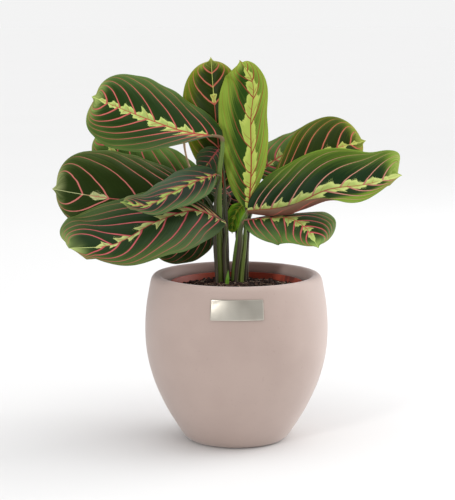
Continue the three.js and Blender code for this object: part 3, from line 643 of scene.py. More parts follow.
@dataclass
class Finishes:
    """The plant's materials, made from shared node groups."""

    blade: bpy.types.NodeTree = field(default_factory=blade_group)
    underside: bpy.types.NodeTree = field(default_factory=underside_group)
    stalk: bpy.types.NodeTree = field(default_factory=stalk_group)
    grain: bpy.types.NodeTree = field(default_factory=grain_group)

    def leaf(self, leaf: Leaf) -> bpy.types.Material:
        """Upper side of a blade, in the colours of its kind."""
        made = Material(f"upper_{leaf.node}", specular=0.1)
        palette = leaf.kind.value
        values: dict[str, object] = {
            name: linear(getattr(palette, name)) for name in ("dark", "light", "feather", "vein", "midrib", "bloom")
        }
        values.update({"vein width": leaf.vein_width, "streaks": leaf.streaks, "teeth": leaf.teeth})
        values.update({"gap": leaf.gap, "front": leaf.front, "pale from": leaf.pale_from})
        out = made.use(self.blade, values)
        made.bump(out["height"], 0.12, 0.55)
        return made.wear(base_color=out["colour"], roughness=out["gloss"])

    def under(self) -> bpy.types.Material:
        """Underside of every blade."""
        made = Material("leaf_underside", roughness=0.5, specular=0.2)
        out = made.use(self.underside, {})
        made.bump(out["height"], 0.25, 0.7)
        return made.wear(base_color=out["colour"])

    def stem(self, name: str, seed: float, colours: dict[str, Colour]) -> bpy.types.Material:
        """Skin of a stalk or shoot, with its own seed and any colours that differ from the usual."""
        made = Material(name, roughness=0.42, specular=0.3)
        values: dict[str, object] = {key: linear(colour) for key, colour in colours.items()}
        out = made.use(self.stalk, {"seed": seed, **values})
        made.bump(out["height"], 0.18, 0.6)
        return made.wear(base_color=out["colour"])

    def ceramic(self) -> bpy.types.Material:
        """Matte glaze of the cachepot, dusty pink with soft clouds and a silky sheen."""
        made = Material("matte_glaze", roughness=0.62, specular=0.35)
        made.shader.inputs["Sheen Weight"].default_value = 0.35
        made.shader.inputs["Sheen Roughness"].default_value = 0.5
        out = made.use(self.grain, {"fineness": 1.0})
        g = made.graph
        base = g.blend(g.ramp(out["clouds"], 0.3, 0.7), linear((178, 158, 149)), linear((184, 164, 155)))
        base = g.blend(g.math("MULTIPLY", out["specks"], 0.12), base, linear((140, 120, 112)))
        rough = g.math("MULTIPLY_ADD", out["grain"], 0.14, 0.55)
        made.bump(out["grain"], 0.05, 0.35)
        return made.wear(base_color=base, roughness=rough)

    def terracotta(self) -> bpy.types.Material:
        """Moulded plastic of the nursery pot, with soft clouds and dark streaks running up and down it."""
        made = Material("terracotta_plastic", roughness=0.5, specular=0.4)
        out = made.use(self.grain, {"fineness": 0.7})
        g = made.graph
        dark_streaks = g.noise(g.stretched(g.place(), (70.0, 70.0, 22.0)), 1.0, 3, 0.6)
        base = g.blend(g.ramp(out["clouds"], 0.3, 0.7), linear((164, 62, 38)), linear((188, 80, 50)))
        base = g.blend(g.ramp(dark_streaks, 0.5, 0.68, 0.0, 0.7), base, linear((70, 30, 24)))
        made.bump(out["grain"], 0.05, 0.4)
        return made.wear(base_color=base, roughness=g.math("MULTIPLY_ADD", out["grain"], 0.2, 0.4))

    def brushed(self) -> bpy.types.Material:
        """Brushed champagne steel of the bare plate, brushed from side to side."""
        made = Material("brushed_steel", roughness=0.32, metallic=1.0)
        made.shader.inputs["Anisotropic"].default_value = 0.5
        g = made.graph
        lines = g.noise(g.stretched(g.place(), (60.0, 60.0, 4200.0)), 1.0, 4, 0.7)
        cloud = g.noise(g.stretched(g.place(), (55.0, 55.0, 25.0)), 1.0, 2)
        base = g.blend(g.math("MULTIPLY", lines, 0.6), linear((208, 203, 192)), linear((176, 170, 158)))
        base = g.blend(g.ramp(cloud, 0.35, 0.7, 0.0, 0.4), base, linear((150, 142, 128)))
        made.bump(lines, 0.04, 0.5)
        return made.wear(base_color=base, roughness=g.math("MULTIPLY_ADD", lines, 0.2, 0.24))

    def compost(self, name: str, dark: Colour, light: Colour) -> bpy.types.Material:
        """Moist potting soil and its crumbs, black-brown with lighter grains."""
        made = Material(name, roughness=0.9, specular=0.25)
        out = made.use(self.grain, {"fineness": 0.8})
        g = made.graph
        lumps = g.noise(g.place(), 260.0, 4, 0.65)
        base = g.blend(g.ramp(lumps, 0.35, 0.72), linear(dark), linear(light))
        base = g.blend(g.math("MULTIPLY", out["specks"], 0.5), base, linear((120, 96, 80)))
        made.bump(lumps, 0.9, 0.9)
        return made.wear(base_color=base)

    def fibre(self) -> bpy.types.Material:
        """Dry coir fibres on the soil."""
        made = Material("dry_fibre", roughness=0.8, specular=0.2)
        g = made.graph
        tone = g.ramp(g.noise(g.place(), 60.0, 2), 0.35, 0.65)
        return made.wear(base_color=g.blend(tone, linear((96, 66, 48)), linear((206, 180, 154))))

    def dry(self, name: str, dark: Colour, light: Colour) -> bpy.types.Material:
        """A dried sheath or stalk, streaked along its height."""
        made = Material(name, roughness=0.62, specular=0.3)
        g = made.graph
        streaks = g.noise(g.stretched(g.place(), (1100.0, 1100.0, 60.0)), 1.0, 4, 0.6)
        made.bump(streaks, 0.15, 0.6)
        return made.wear(base_color=g.blend(g.ramp(streaks, 0.35, 0.7), linear(dark), linear(light)))

    def floor(self) -> bpy.types.Material:
        """Plain pale floor."""
        made = Material("pale_floor", roughness=0.9, specular=0.1)
        g = made.graph
        tone = g.noise(g.place(), 2.0, 2)
        return made.wear(base_color=g.blend(tone, linear((231, 231, 231)), linear((233, 233, 233))))


# Leaves


@dataclass(frozen=True)
class Half:
    """One half of a blade, from the midrib to one margin.

    The strip leaves the midrib at its fold angle and bends by its curl on the way out, both in
    degrees; past mid-leaf they turn into the tip's own values where these are given. Its sweep
    leans the strip forward, and the tip's own sweep makes a lobe there.
    """

    width: float = 28
    widest: float = 0.5
    fullness: float = 0.45
    fold: float = 4
    curl: float = -20
    fold_tip: float | None = None
    curl_tip: float | None = None
    sweep: float = 0
    sweep_tip: float | None = None
    base_fullness: float | None = None
    veins: int = 8
    first_vein: float = 0.05
    last_vein: float = 0.87
    vein_spread: float = 1.2
    vein_shift: float = 0.0
    vein_run: float = 0.8
    vein_rise: float = 0.18
    vein_bend: float = 0.95
    feather: float = 6.0
    feather_from: float = 0.0
    feather_grow: float = 0.45
    feather_to: float = 0.95
    inner: float = 0.05
    outer: float = 0.4
    dark_to: float = 0.3
    light_by: float = 0.98
    tip_light: float = 0.55
    # How much grey lies on the half, and where along it: partly bloom, partly a painted sky reflection.
    bloom: float = 0.0
    bloom_at: float = 0.3


@dataclass(frozen=True)
class Leaf:
    """A leaf: its blade on a spine, and the stalk that carries it from the soil."""

    node: str
    foot: tuple[float, float]
    via: list[Point]
    spine: list[Point]
    face: Point
    left: Half
    right: Half
    kind: LeafKind = LeafKind.DEEP
    face_tip: Point | None = None
    girth: float = 1.7
    swell: float = 1.0
    wave: float = 1.2
    vein_width: float = 1.15
    streaks: float = 0.5
    teeth: float = 2.4
    gap: float = 0.16
    front: float = 0.8
    pale_from: float = 0.8
    stem: StemKind = StemKind.PURPLE
    slot: str = "leaf"


@dataclass
class Frame:
    """Places and directions along a midrib, one row for each station."""

    middle: np.ndarray
    along: np.ndarray
    left: np.ndarray
    up: np.ndarray


@dataclass
class LeafMaker:
    """Builds the leaves, each as one object with a closed blade and a closed stalk."""

    finishes: Finishes
    rows: int = 132
    columns: int = 30
    thickness: float = 0.45
    tip_length: float = 0.035
    least_half_width: float = 0.45
    waves: float = 4
    even_out: float = 0.16
    soil_top: float = 140
    stem_foot: float = 116
    stalk_sides: int = 20
    stalk_rings: int = 90
    quilt: float = 0.34
    groove: float = 0.22
    rib: float = 0.9
    crowding: float = 0.3
    vein_arch: float = 2.4
    vein_rim: float = 40

    def frame(self, leaf: Leaf, s: np.ndarray) -> Frame:
        """Stations of the midrib: the face's direction turns evenly from base to tip.

        The midrib's own direction is taken over a short stretch, so that rows don't bunch at bends.
        """
        spine = Curve(leaf.spine)
        along = spine.way(s, self.even_out)
        base, tip = unit(np.array(leaf.face)), unit(np.array(leaf.face_tip or leaf.face))
        face = mix(base, tip, s[:, None])
        left = unit(np.cross(face, along))
        return Frame(spine.at(s), along, left, np.cross(along, left))

    def half_width(self, half: Half, s: np.ndarray) -> np.ndarray:
        """Half-width at each station, in millimetres.

        A power of s puts the widest place where it belongs, an arch 4x(1-x) raised to the
        fullness gives the oval, and a short point is added past four fifths. The base may have a
        fullness of its own, which passes into the other on the way to the tip.
        """
        shift = np.log(0.5) / np.log(half.widest)
        body = np.clip(s / (1 - self.tip_length), 0, 1) ** shift
        base_fullness = half.fullness if half.base_fullness is None else half.base_fullness
        fullness = mix(base_fullness, half.fullness, smoothstep(s, 0, 0.9))
        arch = np.maximum(4 * body * (1 - body), 0) ** fullness
        point = np.minimum((1 - s) / (2.6 * self.tip_length), 1) ** 1.3 * 0.3
        share = np.where(s > 0.8, np.maximum(arch, point), arch)
        return np.maximum(half.width * share, self.least_half_width)

    def half_surface(self, leaf: Leaf, half: Half, sign: int, frame: Frame, s: np.ndarray) -> np.ndarray:
        """Points of one half, shaped (rows, columns + 1, 3), from the midrib outwards.

        The cross-section is the integral of a direction whose angle is fold + curl q, so each
        strip keeps its length while it bends. A wave grows with q squared towards the margin.
        """
        relaxed = smoothstep(s, 0.3, 0.8)
        fold_tip = half.fold if half.fold_tip is None else half.fold_tip
        curl_tip = half.curl if half.curl_tip is None else half.curl_tip
        fold = np.radians(mix(half.fold, fold_tip, relaxed))[:, None]
        curl = np.radians(mix(half.curl, curl_tip, relaxed))[:, None]
        width = self.half_width(half, s)[:, None]
        middles = (np.arange(self.columns) + 0.5)[None, :] / self.columns
        angle = fold + curl * middles
        step = width / self.columns
        start = np.zeros((len(s), 1))
        out = np.hstack([start, np.cumsum(step * np.cos(angle), 1)])
        rise = np.hstack([start, np.cumsum(step * np.sin(angle), 1)])
        q = np.linspace(0, 1, self.columns + 1)[None, :]
        ripple = np.sin(2 * np.pi * self.waves * s) * np.sin(np.pi * s)
        rise = rise + leaf.wave * q**2 * ripple[:, None]
        rise = rise + 0.25 * q**3 * (np.sin(31 * s + sign) * np.sin(np.pi * s))[:, None]
        sweep_tip = half.sweep if half.sweep_tip is None else half.sweep_tip
        lobe = np.clip((s - 0.7) / 0.3, 0, 1)[:, None] ** 4
        forward = mix(half.sweep, sweep_tip, lobe) * width * q**2
        return (
            frame.middle[:, None]
            + sign * frame.left[:, None] * out[..., None]
            + frame.up[:, None] * rise[..., None]
            + frame.along[:, None] * forward[..., None]
        )

    def vein_path(self, half: Half, w: np.ndarray, q: np.ndarray) -> np.ndarray:
        """Where a vein that leaves the midrib at s = w has got to at q.

        It runs through s = w + (1 - w) (G h + (1 - G) q^n). G grows from nothing at the base to
        the half's vein run and on to 1 at the tip, so the first veins are short. h is a mix of q
        and a power of q, so a vein leaves the midrib steeply and bends over on its way, the more
        so near the base. The last term turns every vein along the margin towards the tip.
        """
        inside = np.clip(w, 0, 1)
        run = mix(half.vein_run * (1 - np.exp(-inside / half.vein_rise)), 1, inside**2)
        way_out = mix(q, q**self.vein_arch, half.vein_bend * (1 - inside))
        return w + (1 - w) * (run * way_out + (1 - run) * q**self.vein_rim)

    def vein_start(self, half: Half, s: np.ndarray, q: np.ndarray) -> np.ndarray:
        """Where the vein through each point leaves the midrib, found by halving an interval."""
        low, high = np.full(s.shape, -0.5), np.full(s.shape, 1.0)
        for _ in range(26):
            w = (low + high) / 2
            past = self.vein_path(half, w, q) > s
            low, high = np.where(past, low, w), np.where(past, w, high)
        return (low + high) / 2

    def vein_count(self, half: Half, w: np.ndarray) -> np.ndarray:
        """Veins passed from the base to a start w, as a number that is whole on each vein.

        The starts stand at w = first + span (x - k sin(2 pi x) / 2 pi), with x the share of the
        veins raised to the half's spread, so they crowd at the base and a little at the tip. The
        count is read off backwards, and stops half a vein before the first and after the last.
        """
        share = np.linspace(-0.6, 1.4, 600)
        x = np.sign(share) * np.abs(share) ** half.vein_spread
        span = half.last_vein - half.first_vein
        starts = half.first_vein + span * (x - self.crowding * np.sin(2 * np.pi * x) / (2 * np.pi))
        count = np.interp(w, starts, share) * (half.veins - 1) + half.vein_shift
        return np.clip(count, -0.45, half.veins - 0.55)

    def pattern(self, leaf: Leaf, half: Half, sign: int, points: np.ndarray, s: np.ndarray) -> np.ndarray:
        """The vectors that one half's points carry for the materials.

        Returns:
            An array shaped (rows, columns + 1, 3, 3): the vectors "veins", "place" and "paint".
        """
        q = np.linspace(0, 1, self.columns + 1)[None, :] + 0 * s[:, None]
        station = s[:, None] + 0 * q
        w = self.vein_start(half, station, q)
        number = hash_of(leaf.node) + (0.5 if sign > 0 else 0.0)
        t = self.vein_count(half, w)
        across = np.linalg.norm(np.gradient(points, axis=1), axis=-1)
        down = np.linalg.norm(np.gradient(points, axis=0), axis=-1)
        t_down, t_across = np.gradient(t)
        growth = np.hypot(t_down / np.maximum(down, 1e-3), t_across / np.maximum(across, 1e-3))
        growth = np.clip(growth, 0.02, 4)
        distance = np.cumsum(across, 1) - across[:, :1]
        reach = half.feather * smoothstep(s, half.feather_from, half.feather_from + half.feather_grow)
        reach = reach * (1 - 0.7 * smoothstep(s, 0.6, 1)) * (1 - smoothstep(s, half.feather_to - 0.05, half.feather_to))
        light = mix(half.inner, half.outer, smoothstep(q, half.dark_to, half.light_by))
        light = light + half.tip_light * smoothstep(station, 0.84, 0.99)
        base_dark = 0.12 * (1 - smoothstep(station, 0.0, 0.2))
        # Share of grey: partly bloom, partly a painted sky reflection.
        bloom = half.bloom * np.exp(-(((station - half.bloom_at) / 0.28) ** 2)) * smoothstep(q, 0.0, 0.35)
        return np.stack(
            [
                np.stack([t, q, growth], -1),
                np.stack([station, distance, number + 0 * q], -1),
                np.stack([reach[:, None] + 0 * q, np.clip(light - base_dark, 0, 1), bloom], -1),
            ],
            2,
        )

    def relief(self, values: np.ndarray) -> np.ndarray:
        """Height of the blade's quilting: bulges between veins, with grooves on them and the midrib."""
        t, q = values[..., 0, 0], values[..., 0, 1]
        distance = values[..., 1, 1]
        bulge = self.quilt * np.sin(np.pi * t) ** 2
        near = np.abs(t - np.round(t)) / values[..., 0, 2]
        groove = self.groove * np.exp(-((near / 0.8) ** 2))
        fade = smoothstep(distance, 0.5, 5) * (1 - smoothstep(q, 0.75, 1))
        rib = self.groove * 1.6 * np.exp(-((distance / 1.1) ** 2))
        return (bulge - groove) * fade - rib

    def add_blade(self, maker: MeshMaker, leaf: Leaf) -> None:
        """Adds the blade: two faces a thickness apart, joined by a rim all round."""
        even = np.linspace(0, 1, self.rows)
        s = 0.006 + 0.99 * mix(even, (1 - np.cos(np.pi * even)) / 2, 0.6)
        frame = self.frame(leaf, s)
        surfaces, values = [], []
        for sign, half in ((1, leaf.left), (-1, leaf.right)):
            points = self.half_surface(leaf, half, sign, frame, s)
            surfaces.append(points)
            values.append(self.pattern(leaf, half, sign, points, s))
        middle = self.columns
        grid = np.concatenate([surfaces[0][:, ::-1], surfaces[1][:, 1:]], 1)
        height = np.concatenate([self.relief(values[0])[:, ::-1], self.relief(values[1])[:, 1:]], 1)
        normals = unit(np.cross(np.gradient(grid, axis=1), np.gradient(grid, axis=0)))
        grid = grid + normals * height[..., None]
        distance = np.concatenate([values[0][:, ::-1, 1, 1], values[1][:, 1:, 1, 1]], 1)
        ridge = self.rib * (1 - s[:, None]) ** 0.8 * np.exp(-((distance / 1.2) ** 2))
        margin = np.concatenate([values[0][:, ::-1, 0, 1], values[1][:, 1:, 0, 1]], 1)
        half_thick = self.thickness / 2 * (1 - 0.35 * margin**4)
        upper = maker.add_points(grid + normals * half_thick[..., None])
        lower = maker.add_points(grid - normals * (half_thick + ridge)[..., None])
        left_values, right_values = values[0][:, ::-1], values[1]
        for numbers, material, over in ((upper, 0, False), (lower, 1, True)):
            maker.add_grid(numbers[:, : middle + 1], left_values, material, over)
            maker.add_grid(numbers[:, middle:], right_values, material, over)
        add_rim(maker, upper, lower, np.concatenate([left_values, right_values[:, 1:]], 1))

    def stalk_path(self, leaf: Leaf) -> tuple[np.ndarray, np.ndarray]:
        """Points of the stalk and its radius at each: up from the soil and along under the midrib."""
        spine_places = np.array([0.015, 0.14, 0.34, 0.6])
        drops = np.array([1.35, 1.3, 1.1, 0.85])
        frame = self.frame(leaf, spine_places)
        under = frame.middle - frame.up * drops[:, None]
        x, y = leaf.foot
        start = [(x, y, self.stem_foot), (x, y, self.soil_top + 3)]
        top = leaf.girth * 0.6
        swollen = np.linspace(leaf.girth * leaf.swell, top, len(leaf.via) + 1)[:-1]
        radii = np.concatenate([[leaf.girth, leaf.girth], swollen, [top, 0.95, 0.7, 0.45]])
        return np.vstack([start, leaf.via, under]), radii

    def add_stalk(self, maker: MeshMaker, leaf: Leaf) -> None:
        """Adds the stalk as a tube.

        Its lower part is a clasping sheath: the radius grows a little on one side and steps down
        at the sheath's overlapping edge. The joint under the blade is a smooth swelling.
        """
        path, radii = self.stalk_path(leaf)
        last = len(path) - 1
        t = np.linspace(0, 1, self.stalk_rings)
        around = np.linspace(0, 1, self.stalk_sides + 1)[None, :-1]
        base_at = (last - 3) / last
        joint = np.exp(-(((t - base_at + 0.028) / 0.03) ** 2))
        tinted = np.maximum(joint, smoothstep(t, base_at - 0.05, base_at))
        radius = np.interp(t, np.arange(last + 1) / last, radii) * (1 + 0.22 * joint)
        clasp = 1 - smoothstep(t, 0.42 * base_at, 0.62 * base_at)
        turn = (around + 0.15 * np.sin(7 * t + leaf.foot[0])[:, None]) % 1
        edge = 0.16 * clasp[:, None] * (1 - turn)
        rings = tube_rings(Curve(path), t, radius[:, None] * (1 + edge - 0.04 * clasp[:, None]), around)
        values = np.stack([t[:, None] + 0 * around, around + 0 * t[:, None], tinted[:, None] + 0 * around], -1)
        blank = np.zeros_like(values)
        add_tube(maker, rings, np.stack([blank, blank, blank, values], 2), material=2)

    def make(self, leaf: Leaf) -> bpy.types.Object:
        """Makes one leaf as one object, named after its node."""
        maker = MeshMaker("veins", "place", "paint", "stem")
        blade = MeshMaker("veins", "place", "paint")
        self.add_blade(blade, leaf)
        maker.points = blade.points
        for corners, values, material, flat in blade.faces:
            padded = np.concatenate([values, np.zeros_like(values[..., :1, :])], -2)
            maker.add_faces(corners, padded, material, flat)
        self.add_stalk(maker, leaf)
        seed = float(hash_of(leaf.node))
        skin = self.finishes.stem(f"stalk_{leaf.node}", seed, leaf.stem.value)
        under = bpy.data.materials.get("leaf_underside") or self.finishes.under()
        return maker.make(f"fine_{leaf.node}", [self.finishes.leaf(leaf), under, skin])


def hash_of(name: str) -> int:
    """A small whole number that is always the same for a name."""
    return sum((k + 3) * ord(letter) for k, letter in enumerate(name)) % 97


def tube_rings(curve: Curve, t: np.ndarray, radius: np.ndarray, around: np.ndarray) -> np.ndarray:
    """Rings of points round a curve.

    Every ring stands square to the curve, and is turned so that its first point lies on the side
    of one fixed direction, which is square to the curve's overall bend.

    Args:
        curve: The tube's centre line.
        t: Places along it.
        radius: Radius at each place and each way round, shaped (places, sides) or (places, 1).
        around: Ways round from 0 to 1, shaped (1, sides).

    Returns:
        Points shaped (places, sides, 3).
    """
    middle, along = curve.at(t), curve.way(t)
    chord = along[-1] + along[len(along) // 2]
    sideways = np.cross(along[0], chord)
    if np.linalg.norm(sideways) < 0.05:
        sideways = np.array([1.0, 0.2, 0.0])
    first = unit(sideways - along * (along @ sideways)[:, None])
    second = np.cross(along, first)
    turn = 2 * np.pi * around
    return (
        middle[:, None]
        + first[:, None] * (radius * np.cos(turn))[..., None]
        + second[:, None] * (radius * np.sin(turn))[..., None]
    )


def add_rim(maker: MeshMaker, upper: np.ndarray, lower: np.ndarray, values: np.ndarray | None = None) -> None:
    """Joins the two faces of a sheet along its four sides, from their point numbers."""
    every = slice(None)
    for cut, over in (((every, 0), False), ((every, -1), True), ((0, every), True), ((-1, every), False)):
        numbers = np.stack([upper[cut], lower[cut]])
        edge = None if values is None else np.stack([values[cut]] * 2)
        maker.add_grid(numbers, edge, 0, over, flat=True)


def add_tube(maker: MeshMaker, rings: np.ndarray, values: np.ndarray | None = None, material: int = 0) -> None:
    """Adds a tube with both ends closed, from its rings and the vectors of its points."""
    if values is None:
        values = np.zeros((*rings.shape[:2], len(maker.attributes), 3))
    numbers = maker.add_points(rings)
    closed = np.concatenate([numbers, numbers[:, :1]], 1)
    maker.add_grid(closed, np.concatenate([values, values[:, :1]], 1), material)
    ends = maker.add_points(rings[[0, -1]].mean(1))
    for end, ring, row in ((ends[0], numbers[0][::-1], values[0]), (ends[1], numbers[-1], values[-1])):
        corner = np.repeat(row[None, :1], len(ring), 0)
        maker.add_fan(int(end), ring, np.repeat(corner, 3, 1), material)


